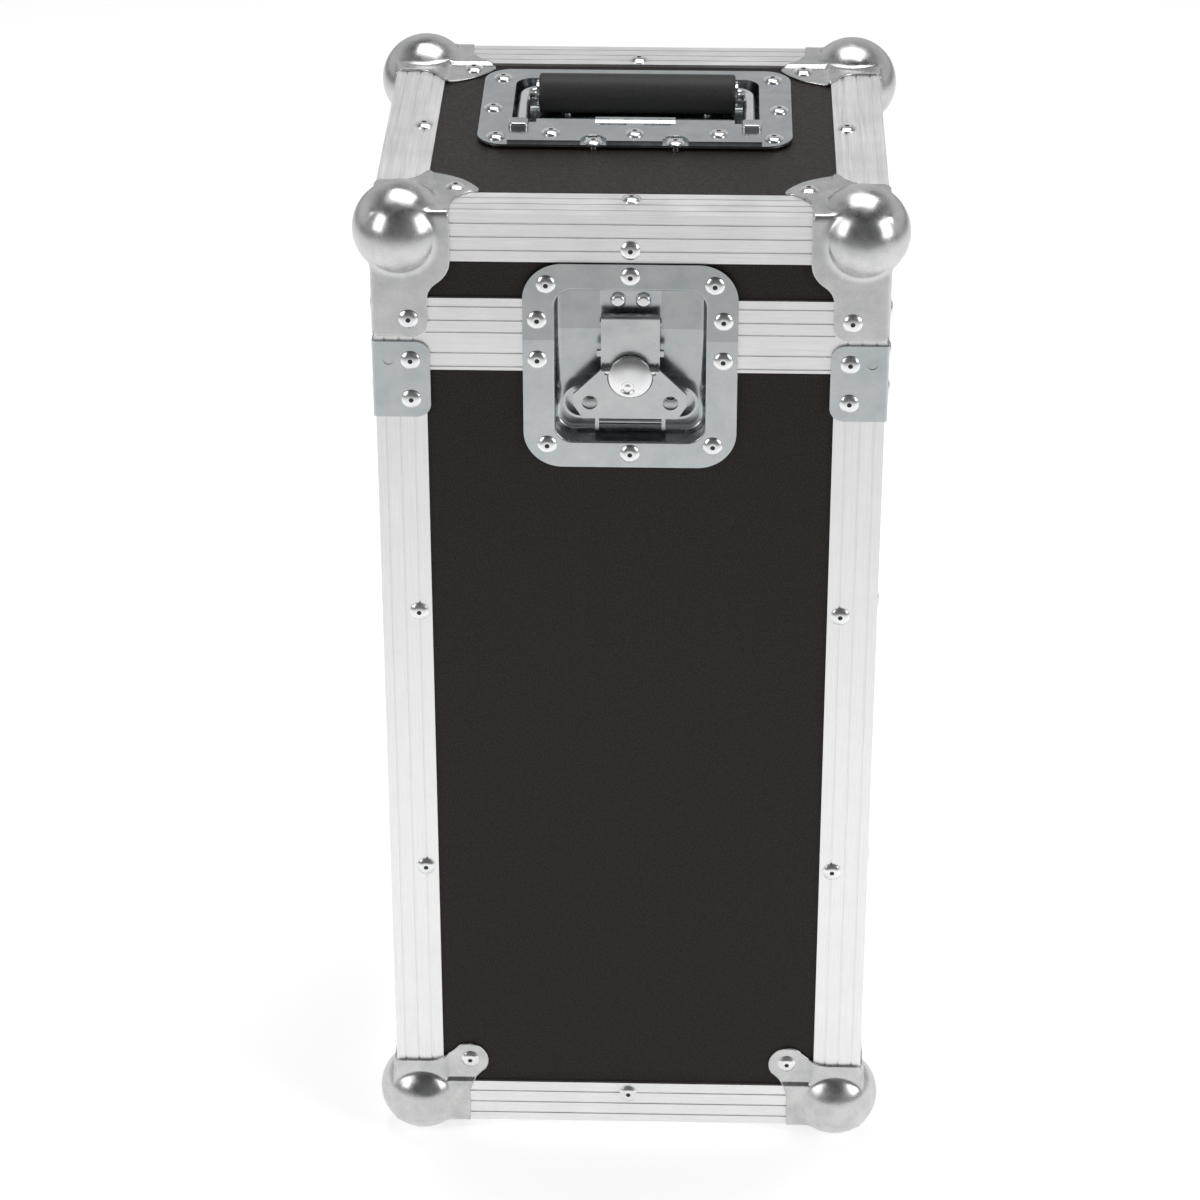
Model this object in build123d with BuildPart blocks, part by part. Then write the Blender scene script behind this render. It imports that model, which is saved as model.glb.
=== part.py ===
from build123d import *
import os

os.makedirs("parts", exist_ok=True)

# A tall aluminium-edged transport case with a shallow hinged lid, in millimetres.
# X runs across the front, the front faces -Y and +Z is up.
# The origin is on the floor under the middle of the case, which stands on its four lower ball corners.

# Case, over the aluminium edges
case_width = 248.0
case_depth = 220.0
case_height = 531.0
lid_height = 65.5

# Sheet panels and the edge profile that holds them
panel_thickness = 7.0
panel_clearance = 0.2
edge_leg = 25.0
edge_wall = 1.5
inner_leg = 22.0
groove_width = 1.0
groove_depth = 0.5
edge_grooves = (5.0, 12.0, 19.0)

# Closure profile on both sides of the parting line
lower_closure_height = 17.0
upper_closure_height = 21.2
closure_inner_height = 14.0
closure_seat = 6.0
lower_closure_grooves = (7.7, 14.9)
upper_closure_grooves = (3.2, 9.6, 16.8)
tongue_rib_height = 4.0
tongue_rib_thickness = 2.0
tongue_rib_inset = 4.0
tongue_rib_clearance = 0.6
tongue_rib_play = 1.6

# Ball corners and braces, pressed from zinc-plated sheet
sheet = 1.2
ball_radius = 23.0
ball_inset = 13.0
ball_wall = 1.5
corner_reach = 39.0
lobe_radius = 10.5
lobe_place = 38.5
lobe_blend = 9.0
plate_end_rounding = 1.0
corner_rivet = 39.3
corner_bend = 1.6
lid_corner_reach = 37.5
lid_wing_root = (26.0, 49.3)
lid_wing_crown = (40.8, 42.6)
lid_wing_tip = (50.4, 30.0)
lid_wing_notch = 13.0
lid_wing_step = 18.0
lid_wing_blend = 2.0
cheek_blend = 4.0
lid_rivet_across = 38.9
lid_rivet_along = 32.5
lid_cheek_drop = 24.0
lid_cheek_end = 39.0
lid_leg_gap = 1.3
lid_leg_rivet_inset = 17.0
lid_leg_rivet_height = 10.5
brace_width = 27.0
brace_height = 40.3
brace_gap = 1.7
brace_corner = 7.0
brace_rivet_inset = 17.5
brace_rivet_drops = (11.5, 32.3)
brace_dimple_inset = 6.8
brace_dimple_radius = 2.5
brace_dimple_depth = 0.4

# Blind rivets
rivet_head_radius = 4.7
rivet_head_rim = 0.5
rivet_head_height = 1.8
rivet_shank_radius = 2.0
rivet_shank_length = 8.0
rivet_hole_radius = 1.2
rivet_hole_depth = 1.1
rivet_clearance = 0.05
edge_rivet_inset = 18.5
rivet_rim_shrink = 0.9
rivet_crown_reach = 0.68
rivet_crown_rise = 0.83
post_rivet_heights = (162.0, 314.0)
latch_rivet_offsets = (
    (-40.6, 29.4),
    (0.0, 33.8),
    (40.6, 29.4),
    (-45.0, 10.6),
    (45.0, 10.6),
    (-45.0, -10.5),
    (45.0, -10.5),
    (-40.5, -56.4),
    (0.0, -60.9),
    (40.5, -56.4),
)

# Recessed latch dish
latch_flange_width = 104.0
latch_flange_above = 40.1
latch_flange_below = 68.4
latch_flange_corner = 19.0
latch_recess_width = 73.2
latch_recess_above = 26.5
latch_recess_below = 54.5
latch_recess_corner = 9.0
latch_recess_depth = 14.0
recess_floor_bend = 3.0
recess_rim_rounding = 0.95
dish_clearance = 0.3

# Twist latch: a disc with an off-centre pin that lifts the hook plate
latch_axis_drop = 20.5
disc_radius = 10.5
disc_front = 1.5
disc_thickness = 3.0
disc_dimple_radius = 3.7
disc_dimple_across = 1.2
disc_dimple_depth = 0.5
disc_rounding = 1.2
shaft_radius = 2.5
throw_radius = 5.0
throw_pin_radius = 2.5
running_clearance = 0.05
slide_clearance = 0.3
collar_radius = 4.5
collar_thickness = 1.0
flap_front = 2.5
flap_thickness = 1.8
flap_hinge_rise = 3.0
flap_hinge_depth = 3.4
flap_ear_reach = 12.0
flap_knuckle_radius = 1.8
flap_pin_radius = 1.0
flap_top_half = 14.0
flap_wing_half = 27.6
flap_wing_drop = 9.6
flap_wing_end = 15.5
flap_foot_half = 23.2
flap_foot_drop = 22.5
flap_hole_across = 19.7
flap_hole_drop = 14.0
flap_hole_radius = 3.75
flap_crown = 0.8
flap_notch_gap = 0.7
hook_front = 5.5
hook_thickness = 2.0
hook_half = 14.3
hook_rise = 31.0
hook_foot_drop = 16.0
hook_lip = 1.3
hook_lip_height = 2.0
hook_ear = 2.0
hook_ear_rise = 11.0
hook_ear_height = 3.0
hook_play = 1.3
hook_bend = 1.8

# Cradle under the flap
cradle_half = 33.0
cradle_top_drop = 7.5
cradle_foot_drop = 25.0
cradle_front = 8.0
cradle_wall = 1.2
lug_place = 16.3
lug_width = 1.9
lug_foot_drop = 31.5
lug_depth = 4.0
roll_radius = 1.8
screw_head_radius = 3.3
screw_head_height = 2.0
screw_shank_radius = 1.6
screw_slot_width = 0.9
screw_slot_depth = 0.9
screw_head_rounding = 0.8

# Strike plate on the lid
strike_half = 15.0
strike_low = 3.8
strike_high = 23.0
strike_thickness = 1.5
strike_lip_front = 9.4
strike_lip_height = 1.5
strike_rivet_across = 6.2
strike_rivet_rise = 16.0
strike_rivet_radius = 3.9
strike_rivet_height = 2.4
strike_rivet_dome = 2.1

# Spring handle in a dish on the lid
handle_flange_width = 156.4
handle_flange_front = -27.0
handle_flange_rear = 74.0
handle_flange_corner = 14.0
handle_recess_width = 124.0
handle_recess_front = -3.5
handle_recess_rear = 62.0
handle_recess_corner = 9.0
handle_recess_depth = 16.0
handle_pad_front = 45.0
handle_pad_peak = 1.5
handle_pad_half = 50.0
handle_pad_height = 0.8
handle_rivet_places = ((69.0, -17.0), (72.0, 20.4), (69.0, 61.4))
bail_radius = 3.25
bail_half = 57.0
bail_pivot = 2.0
bail_drop = 3.65
bail_reach = 49.0
bail_bend = 7.0
bail_pivot_bend = 6.5
bail_end_gap = 2.5
grip_radius = 10.0
grip_half = 50.0
grip_rounding = 1.5
washer_radius = 6.5
washer_thickness = 1.2
washer_play = 0.6
bracket_thickness = 1.5
bracket_half = 63.0
bracket_front = -25.0
bracket_rear = 3.0
bracket_step_half = 49.5
bracket_notch_across = 20.3
bracket_notch_radius = 6.5
bracket_notch_inset = 1.2
bracket_rivet_places = ((-41.6, -14.8), (0.0, -15.5), (41.6, -14.8))
stop_inner = 53.0
stop_length = 9.3
stop_height = 3.0
stop_rounding = 2.0
stop_top_rounding = 1.6
stop_clearance = 0.45
knuckle_wall = 1.5
knuckle_side_span = (40.0, 49.5)
knuckle_middle_span = (21.0, 30.0)
spring_cover_half = 20.0
spring_cover_wall = 1.2
bracket_slot_places = (-11.0, 11.0)
bracket_slot_length = 14.0
bracket_slot_width = 2.4
spring_wire_radius = 0.6
spring_gap = 0.45
spring_clearance = 0.3
spring_turns = 4
spring_pitch = 3.2
spring_start_gap = 4.6
pad_rivet_across = 36.0
pad_rivet_place = 52.0
pad_rivet_radius = 2.6
pad_rivet_height = 0.9

# Foam lining
foam_thickness = 10.0
foam_clearance = 0.3

# Rear hinges
hinge_place = 60.0
hinge_width = 44.0
hinge_leaf_thickness = 1.5
hinge_leaf_gap = 3.6
hinge_lower_leaf = 16.0
hinge_upper_leaf = 20.0
hinge_standoff = 3.7
hinge_pin_radius = 1.5
hinge_knuckle_radius = 2.9
hinge_knuckle_clearance = 0.2
hinge_rivet_half = 13.0
hinge_rivet_inset = 5.6
hinge_pin_overhang = 0.8

# Places worked out from the sizes above
x_side = case_width / 2
y_front = -case_depth / 2
y_rear = case_depth / 2
z_bottom = ball_radius - ball_inset
z_top = z_bottom + case_height
z_split = z_top - lid_height
slot_back = edge_wall + panel_thickness
profile_depth = slot_back + edge_wall
edge_half_x = x_side - edge_leg
edge_half_y = y_rear - edge_leg
panel_edge = profile_depth + panel_clearance
closure_panel_edge = closure_seat + edge_wall + panel_clearance
dish_face = y_front - sheet
dish_wall = sheet
latch_axis = z_split - latch_axis_drop
lining_out = profile_depth
lining_in = profile_depth + foam_thickness


# Edges and corners are picked by their place to within this distance
near = 0.01


def block(x_span, y_span, z_span, mode=Mode.ADD):
    """A box between a low and a high value on each axis."""
    low = (x_span[0], y_span[0], z_span[0])
    size = [x_span[1] - x_span[0], y_span[1] - y_span[0], z_span[1] - z_span[0]]
    with Locations(low):
        Box(*size, align=(Align.MIN, Align.MIN, Align.MIN), mode=mode)


def patch(u_span, v_span, mode=Mode.ADD):
    """A rectangle between a low and a high value on both axes of a sketch."""
    with Locations((u_span[0], v_span[0])):
        Rectangle(u_span[1] - u_span[0], v_span[1] - v_span[0], align=(Align.MIN, Align.MIN), mode=mode)


def front_plane(y, x=0.0, z=0.0):
    """A plane that faces the front, with its x along X and its y up."""
    return Plane(origin=(x, y, z), x_dir=(1, 0, 0), z_dir=(0, -1, 0))


def front_pair(y, across, z):
    """The front planes at two places that mirror each other across the middle."""
    return [front_plane(y, -across, z), front_plane(y, across, z)]


def rod(start, end, radius, mode=Mode.ADD):
    """A round bar between two points."""
    run = Vector(*end) - Vector(*start)
    with Locations(Plane(origin=start, z_dir=run)):
        Cylinder(radius, run.length, align=(Align.CENTER, Align.CENTER, Align.MIN), mode=mode)


def keep(piece, name):
    """Label a finished sub-part and write its file."""
    piece.part.label = name
    export_step(piece.part, f"parts/{name}.step")


# Rivet places: planes on the surface under each head, facing out of the case
normals = {
    "front": (0, -1, 0),
    "rear": (0, 1, 0),
    "left": (-1, 0, 0),
    "right": (1, 0, 0),
    "top": (0, 0, 1),
    "bottom": (0, 0, -1),
}


def on_side(side, across, up, lift=0.0):
    """A plane on one outer side: across is along X or Y, up is Z or, on top and bottom, Y."""
    if side == "front":
        place = (across, y_front - lift, up)
    elif side == "rear":
        place = (across, y_rear + lift, up)
    elif side == "left":
        place = (-x_side - lift, across, up)
    elif side == "right":
        place = (x_side + lift, across, up)
    elif side == "top":
        place = (across, up, z_top + lift)
    else:
        place = (across, up, z_bottom - lift)
    return Plane(origin=place, z_dir=normals[side])


def upright_pairs(inset, height, lift):
    """Places at one height near all four upright edges, on both faces of each edge."""
    places = []
    for sign in (-1, 1):
        for side in ("front", "rear"):
            places.append(on_side(side, sign * (x_side - inset), height, lift))
        for side in ("left", "right"):
            places.append(on_side(side, sign * (y_rear - inset), height, lift))
    return places


def level_corners(side, inset_x, inset_y, lift):
    """Places near the four corners of the top or the bottom."""
    places = []
    for sign_x in (-1, 1):
        for sign_y in (-1, 1):
            places.append(on_side(side, sign_x * (x_side - inset_x), sign_y * (y_rear - inset_y), lift))
    return places


step_drop = sheet - edge_wall
base_rivets_at = upright_pairs(corner_rivet, z_bottom + corner_rivet, step_drop)
base_rivets_at += level_corners("bottom", corner_rivet, corner_rivet, step_drop)
for drop in brace_rivet_drops:
    base_rivets_at += upright_pairs(brace_rivet_inset, z_split - drop, sheet)
for height in post_rivet_heights:
    base_rivets_at += upright_pairs(edge_rivet_inset, z_bottom + height, 0)
for side in ("front", "rear", "left", "right"):
    base_rivets_at.append(on_side(side, 0, z_bottom + edge_rivet_inset))
for sign in (-1, 1):
    base_rivets_at.append(on_side("bottom", 0, sign * (y_rear - edge_rivet_inset)))
    base_rivets_at.append(on_side("bottom", sign * (x_side - edge_rivet_inset), 0))

lid_rivets_at = upright_pairs(lid_leg_rivet_inset, z_split + lid_leg_rivet_height, sheet)
lid_rivets_at += level_corners("top", lid_rivet_across, lid_rivet_along, step_drop)
for side in ("front", "rear", "left", "right"):
    lid_rivets_at.append(on_side(side, 0, z_top - edge_rivet_inset))
for sign in (-1, 1):
    lid_rivets_at.append(on_side("top", 0, sign * (y_rear - edge_rivet_inset)))
    lid_rivets_at.append(on_side("top", sign * (x_side - edge_rivet_inset), 0))

latch_upper_at = [on_side("front", x, z_split + rise, sheet) for x, rise in latch_rivet_offsets if rise > 0]
latch_lower_at = [on_side("front", x, z_split + rise, sheet) for x, rise in latch_rivet_offsets if rise < 0]

handle_rivets_at = []
for sign in (-1, 1):
    for across, along in handle_rivet_places:
        handle_rivets_at.append(on_side("top", sign * across, along, sheet))
    handle_rivets_at.append(
        on_side("top", sign * bracket_notch_across, bracket_front + bracket_notch_inset, sheet),
    )
bracket_rivets_at = [on_side("top", x, y, sheet + bracket_thickness) for x, y in bracket_rivet_places]

hinge_rivets_low_at = []
hinge_rivets_high_at = []
for centre in (-hinge_place, hinge_place):
    for offset_x in (-hinge_rivet_half, hinge_rivet_half):
        low = z_split - hinge_lower_leaf + hinge_rivet_inset
        high = z_split + hinge_upper_leaf - hinge_rivet_inset
        hinge_rivets_low_at.append(on_side("rear", centre + offset_x, low, hinge_leaf_thickness))
        hinge_rivets_high_at.append(on_side("rear", centre + offset_x, high, hinge_leaf_thickness))


def drill(places):
    """Rivet holes through whatever lies under the places."""
    with Locations(*[place.offset(1.0) for place in places]):
        Cylinder(
            rivet_shank_radius + rivet_clearance,
            rivet_shank_length + 1.0 + panel_clearance,
            align=(Align.CENTER, Align.CENTER, Align.MAX),
            mode=Mode.SUBTRACT,
        )


with BuildPart() as rivet:
    with BuildSketch(Plane.XZ):
        with BuildLine():
            Polyline(
                (rivet_hole_radius * rivet_rim_shrink, rivet_head_height - rivet_hole_depth),
                (0, rivet_head_height - rivet_hole_depth),
                (0, -rivet_shank_length),
                (rivet_shank_radius, -rivet_shank_length),
                (rivet_shank_radius, 0),
                (rivet_head_radius, 0),
                (rivet_head_radius, rivet_head_rim),
            )
            ThreePointArc(
                (rivet_head_radius, rivet_head_rim),
                (rivet_head_radius * rivet_crown_reach, rivet_head_height * rivet_crown_rise),
                (rivet_hole_radius, rivet_head_height),
            )
            Line(
                (rivet_hole_radius, rivet_head_height),
                (rivet_hole_radius * rivet_rim_shrink, rivet_head_height - rivet_hole_depth),
            )
        make_face()
    revolve(axis=Axis.Z)


def rivets(places, name):
    """One node of equal blind rivets."""
    with BuildPart() as group:
        with Locations(*places):
            add(rivet.part)
    keep(group, name)


# Edge profile, its outer corner at the origin and its legs along both axes
with BuildSketch() as edge_section:
    patch((0, edge_leg), (0, edge_wall))
    patch((0, edge_wall), (0, edge_leg))
    patch((0, profile_depth), (0, profile_depth))
    patch((slot_back, inner_leg), (slot_back, profile_depth))
    patch((slot_back, profile_depth), (slot_back, inner_leg))
    patch((edge_wall, slot_back), (edge_wall, slot_back), mode=Mode.SUBTRACT)
    for place in edge_grooves:
        patch((place - groove_width / 2, place + groove_width / 2), (0, groove_depth), mode=Mode.SUBTRACT)
        patch((0, groove_depth), (place - groove_width / 2, place + groove_width / 2), mode=Mode.SUBTRACT)

# Closure profiles, with the outer face at 0 and the parting line at 0
rib_span = (tongue_rib_inset, tongue_rib_inset + tongue_rib_thickness)
with BuildSketch() as lower_closure_section:
    patch((0, edge_wall), (-lower_closure_height, 0))
    patch((slot_back, profile_depth), (-closure_inner_height, 0))
    patch((0, profile_depth), (-edge_wall, 0))
    patch((edge_wall, slot_back), (-closure_seat - edge_wall, -closure_seat))
    patch(rib_span, (0, tongue_rib_height))
    for place in lower_closure_grooves:
        patch((0, groove_depth), (-place - groove_width / 2, -place + groove_width / 2), mode=Mode.SUBTRACT)

with BuildSketch() as upper_closure_section:
    patch((0, edge_wall), (0, upper_closure_height))
    patch((slot_back, profile_depth), (0, closure_inner_height))
    patch((0, profile_depth), (0, edge_wall))
    patch((edge_wall, slot_back), (closure_seat, closure_seat + edge_wall))
    patch(
        (rib_span[0] - tongue_rib_clearance, rib_span[1] + tongue_rib_play),
        (0, edge_wall),
        mode=Mode.SUBTRACT,
    )
    for place in upper_closure_grooves:
        patch((0, groove_depth), (place - groove_width / 2, place + groove_width / 2), mode=Mode.SUBTRACT)


# Cut-outs that the dishes need in the panels, closure profiles and foam
latch_cut_half = latch_recess_width / 2 + dish_wall + dish_clearance
latch_cut_low = z_split - latch_recess_below - dish_wall - dish_clearance
latch_cut_high = z_split + latch_recess_above + dish_wall + dish_clearance
handle_cut_half = handle_recess_width / 2 + dish_wall + dish_clearance
handle_cut_front = handle_recess_front - dish_wall - dish_clearance
handle_cut_rear = handle_recess_rear + dish_wall + dish_clearance
handle_pocket_back = handle_recess_depth - sheet + dish_wall + dish_clearance


def cut_for_latch(back):
    """Clear the latch dish and its axle end out of what stands behind the front face."""
    block(
        (-latch_cut_half, latch_cut_half),
        (y_front - 1, y_front + back),
        (latch_cut_low, latch_cut_high),
        mode=Mode.SUBTRACT,
    )


def cut_for_handle(back):
    """Clear the handle dish out of what lies under the top face."""
    block(
        (-handle_cut_half, handle_cut_half),
        (handle_cut_front, handle_cut_rear),
        (z_top - back, z_top + 1),
        mode=Mode.SUBTRACT,
    )


# Panels of the base
panel_half_x = x_side - panel_edge
panel_half_y = y_rear - panel_edge
panel_y_front = (y_front + edge_wall, y_front + slot_back)
panel_y_rear = (y_rear - slot_back, y_rear - edge_wall)
panel_x_left = (-x_side + edge_wall, -x_side + slot_back)
base_panel_z = (z_bottom + panel_edge, z_split - closure_panel_edge)
lid_panel_z = (z_split + closure_panel_edge, z_top - panel_edge)

with BuildPart() as base_front_panel:
    block((-panel_half_x, panel_half_x), panel_y_front, base_panel_z)
    cut_for_latch(profile_depth)
    drill(base_rivets_at + latch_lower_at)
keep(base_front_panel, "base_front_panel")

with BuildPart() as base_rear_panel:
    block((-panel_half_x, panel_half_x), panel_y_rear, base_panel_z)
    drill(base_rivets_at + hinge_rivets_low_at)
keep(base_rear_panel, "base_rear_panel")

with BuildPart() as base_side_panels:
    block(panel_x_left, (-panel_half_y, panel_half_y), base_panel_z)
    mirror(about=Plane.YZ)
    drill(base_rivets_at)
keep(base_side_panels, "base_side_panels")

with BuildPart() as base_floor_panel:
    block(
        (-panel_half_x, panel_half_x),
        (-panel_half_y, panel_half_y),
        (z_bottom + edge_wall, z_bottom + slot_back),
    )
    drill(base_rivets_at)
keep(base_floor_panel, "base_floor_panel")

# Panels of the lid
with BuildPart() as lid_front_panel:
    block((-panel_half_x, panel_half_x), panel_y_front, lid_panel_z)
    cut_for_latch(profile_depth)
    drill(lid_rivets_at + latch_upper_at)
keep(lid_front_panel, "lid_front_panel")

with BuildPart() as lid_rear_panel:
    block((-panel_half_x, panel_half_x), panel_y_rear, lid_panel_z)
    drill(lid_rivets_at + hinge_rivets_high_at)
keep(lid_rear_panel, "lid_rear_panel")

with BuildPart() as lid_side_panels:
    block(panel_x_left, (-panel_half_y, panel_half_y), lid_panel_z)
    mirror(about=Plane.YZ)
    drill(lid_rivets_at)
keep(lid_side_panels, "lid_side_panels")

with BuildPart() as lid_top_panel:
    block(
        (-panel_half_x, panel_half_x),
        (-panel_half_y, panel_half_y),
        (z_top - slot_back, z_top - edge_wall),
    )
    cut_for_handle(profile_depth)
    drill(lid_rivets_at + handle_rivets_at + bracket_rivets_at)
keep(lid_top_panel, "lid_top_panel")


# Upright edge profiles
def upright_pair(corner_y, x_dir, z_low, z_high, places):
    """The left and right upright profiles at one depth of the case."""
    with BuildPart() as posts:
        with BuildSketch(Plane(origin=(-x_side, corner_y, z_low), x_dir=x_dir, z_dir=(0, 0, 1))):
            add(edge_section.sketch)
        extrude(amount=z_high - z_low)
        mirror(about=Plane.YZ)
        drill(places)
    return posts


base_front_posts = upright_pair(y_front, (1, 0, 0), z_bottom + edge_leg, z_split, base_rivets_at)
keep(base_front_posts, "base_front_posts")
base_rear_posts = upright_pair(y_rear, (0, -1, 0), z_bottom + edge_leg, z_split, base_rivets_at)
keep(base_rear_posts, "base_rear_posts")
lid_front_posts = upright_pair(y_front, (1, 0, 0), z_split, z_top - edge_leg, lid_rivets_at)
lid_rear_posts = upright_pair(y_rear, (0, -1, 0), z_split, z_top - edge_leg, lid_rivets_at)
with BuildPart() as lid_posts:
    add(lid_front_posts.part)
    add(lid_rear_posts.part)
keep(lid_posts, "lid_posts")


# Level edge profiles
def level_edge(plane, length, places, both_sides=False):
    """A straight edge profile from a plane, mirrored to the other side where it is a pair."""
    with BuildPart() as edge:
        with BuildSketch(plane):
            add(edge_section.sketch)
        extrude(amount=length)
        if both_sides:
            mirror(about=Plane.YZ)
        drill(places)
    return edge


low_front = Plane(origin=(-edge_half_x, y_front, z_bottom), x_dir=(0, 1, 0), z_dir=(1, 0, 0))
low_rear = Plane(origin=(-edge_half_x, y_rear, z_bottom), x_dir=(0, 0, 1), z_dir=(1, 0, 0))
low_left = Plane(origin=(-x_side, -edge_half_y, z_bottom), x_dir=(0, 0, 1), z_dir=(0, 1, 0))
high_front = Plane(origin=(-edge_half_x, y_front, z_top), x_dir=(0, 0, -1), z_dir=(1, 0, 0))
high_rear = Plane(origin=(-edge_half_x, y_rear, z_top), x_dir=(0, -1, 0), z_dir=(1, 0, 0))
high_left = Plane(origin=(-x_side, -edge_half_y, z_top), x_dir=(1, 0, 0), z_dir=(0, 1, 0))
base_front_edge = level_edge(low_front, 2 * edge_half_x, base_rivets_at)
keep(base_front_edge, "base_front_edge")
base_rear_edge = level_edge(low_rear, 2 * edge_half_x, base_rivets_at)
keep(base_rear_edge, "base_rear_edge")
base_side_edges = level_edge(low_left, 2 * edge_half_y, base_rivets_at, both_sides=True)
keep(base_side_edges, "base_side_edges")
lid_front_edge = level_edge(high_front, 2 * edge_half_x, lid_rivets_at)
keep(lid_front_edge, "lid_front_edge")
lid_rear_edge = level_edge(high_rear, 2 * edge_half_x, lid_rivets_at)
keep(lid_rear_edge, "lid_rear_edge")
lid_side_edges = level_edge(high_left, 2 * edge_half_y, lid_rivets_at, both_sides=True)
keep(lid_side_edges, "lid_side_edges")


# Closure profiles along the parting line
def closure(section, plane, length, places, side_pair=False, dish_gap=False):
    """A closure profile from a plane, mirrored where it is a pair and cut where the dish passes."""
    with BuildPart() as bar:
        with BuildSketch(plane):
            add(section.sketch)
        extrude(amount=length)
        if side_pair:
            mirror(about=Plane.YZ)
        if dish_gap:
            cut_for_latch(profile_depth + 1)
        drill(places)
    return bar


split_front = Plane(origin=(-edge_half_x, y_front, z_split), x_dir=(0, 1, 0), z_dir=(1, 0, 0))
split_rear = Plane(origin=(edge_half_x, y_rear, z_split), x_dir=(0, -1, 0), z_dir=(-1, 0, 0))
split_left = Plane(origin=(-x_side, edge_half_y, z_split), x_dir=(1, 0, 0), z_dir=(0, -1, 0))
width_run = 2 * edge_half_x
depth_run = 2 * edge_half_y
base_front_closure = closure(lower_closure_section, split_front, width_run, latch_lower_at, dish_gap=True)
keep(base_front_closure, "base_front_closure")
base_rear_closure = closure(lower_closure_section, split_rear, width_run, hinge_rivets_low_at)
keep(base_rear_closure, "base_rear_closure")
base_side_closures = closure(lower_closure_section, split_left, depth_run, base_rivets_at, side_pair=True)
keep(base_side_closures, "base_side_closures")
lid_front_closure = closure(upper_closure_section, split_front, width_run, latch_upper_at, dish_gap=True)
keep(lid_front_closure, "lid_front_closure")
lid_rear_closure = closure(upper_closure_section, split_rear, width_run, hinge_rivets_high_at)
keep(lid_rear_closure, "lid_rear_closure")
lid_side_closures = closure(upper_closure_section, split_left, depth_run, lid_rivets_at, side_pair=True)
keep(lid_side_closures, "lid_side_closures")


# Ball corners. Each is made at a case corner at the origin, with the case on the positive side of all axes.
far = 2 * corner_reach + lid_height


def corner_core(step_limit):
    """What a pressed corner wraps: the profiles with the lower panel face between their legs."""
    with BuildPart() as core:
        block((0, far), (0, far), (0, far))
        block((edge_leg, far), (0, edge_wall), (edge_leg, step_limit), mode=Mode.SUBTRACT)
        block((0, edge_wall), (edge_leg, far), (edge_leg, step_limit), mode=Mode.SUBTRACT)
        block((edge_leg, far), (edge_leg, far), (0, edge_wall), mode=Mode.SUBTRACT)
    return core.part


def pressed_corner(level_outline, front_outline, side_outline, core):
    """A pressed sheet corner with a ball, from the outlines of its three plates."""
    deep = sheet + edge_wall
    step = edge_leg + sheet
    with BuildPart() as corner:
        with BuildSketch(Plane.XY.offset(-sheet)):
            add(level_outline)
        extrude(amount=deep)
        with BuildSketch(Plane.XZ.offset(sheet)):
            add(front_outline)
        extrude(amount=-deep)
        with BuildSketch(Plane.YZ.offset(-sheet)):
            add(side_outline)
        extrude(amount=deep)
        block((step, far), (-far, edge_wall - sheet), (step, core_step_limit), mode=Mode.SUBTRACT)
        block((-far, edge_wall - sheet), (step, far), (step, core_step_limit), mode=Mode.SUBTRACT)
        block((step, far), (step, far), (-far, edge_wall - sheet), mode=Mode.SUBTRACT)
        rims = [
            edge
            for edge in corner.edges()
            if sum(abs(value + sheet) < near for value in tuple(edge.center())) == 2
            and edge.length > edge_leg
        ]
        fillet(rims, corner_bend)
        with Locations((ball_inset, ball_inset, ball_inset)):
            Sphere(ball_radius)
        add(core, mode=Mode.SUBTRACT)
        with Locations((ball_inset, ball_inset, ball_inset)):
            Sphere(ball_radius - ball_wall, mode=Mode.SUBTRACT)
    return corner


core_step_limit = far
with BuildSketch() as lower_outline:
    patch((-sheet, corner_reach), (-sheet, corner_reach))
    with Locations((lobe_place, lobe_place)):
        Circle(lobe_radius)
    notches = lower_outline.vertices().filter_by(
        lambda vertex: max(vertex.X, vertex.Y) < corner_reach + near and min(vertex.X, vertex.Y) > edge_leg
    )
    fillet(notches, lobe_blend)
    outer_ends = lower_outline.vertices().filter_by(
        lambda vertex: min(vertex.X, vertex.Y) < 0 and max(vertex.X, vertex.Y) > edge_leg
    )
    fillet(outer_ends, plate_end_rounding)

lower_corner = pressed_corner(
    lower_outline.sketch,
    lower_outline.sketch,
    lower_outline.sketch,
    corner_core(far),
)

# Lid corners: a wing on the top, cheeks on the front and side that run down to the parting line
leg_end = lid_height - lid_leg_gap
core_step_limit = lid_height - upper_closure_height - panel_clearance
with BuildSketch() as wing_outline:
    with BuildLine():
        Polyline(
            lid_wing_root,
            (lid_corner_reach - lid_wing_step, lid_corner_reach),
            (-sheet, lid_corner_reach),
            (-sheet, -sheet),
            (lid_corner_reach, -sheet),
            (lid_corner_reach, lid_wing_notch),
            lid_wing_tip,
        )
        ThreePointArc(lid_wing_tip, lid_wing_crown, lid_wing_root)
    make_face()
    wing_tips = wing_outline.vertices().filter_by(lambda vertex: vertex.X > edge_leg and vertex.Y > edge_leg)
    fillet(wing_tips, lid_wing_blend)

with BuildSketch() as cheek_outline:
    with BuildLine():
        Polyline(
            (-sheet, -sheet),
            (lid_corner_reach, -sheet),
            (lid_corner_reach, lid_cheek_drop),
            (lid_corner_reach - cheek_blend, lid_cheek_end - cheek_blend),
            (edge_leg + sheet, lid_cheek_end),
            (edge_leg + sheet, leg_end),
            (-sheet, leg_end),
            close=True,
        )
    make_face()
    cheek_bend_from = lid_corner_reach - cheek_blend - sheet
    cheek_bends = cheek_outline.vertices().filter_by(
        lambda vertex: vertex.X > cheek_bend_from and vertex.Y > lid_cheek_drop - sheet
    )
    fillet(cheek_bends, cheek_blend)
    leg_corner = cheek_outline.vertices().filter_by(
        lambda vertex: abs(vertex.X - edge_leg - sheet) < near and abs(vertex.Y - leg_end) < near
    )
    fillet(leg_corner, brace_corner)

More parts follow.
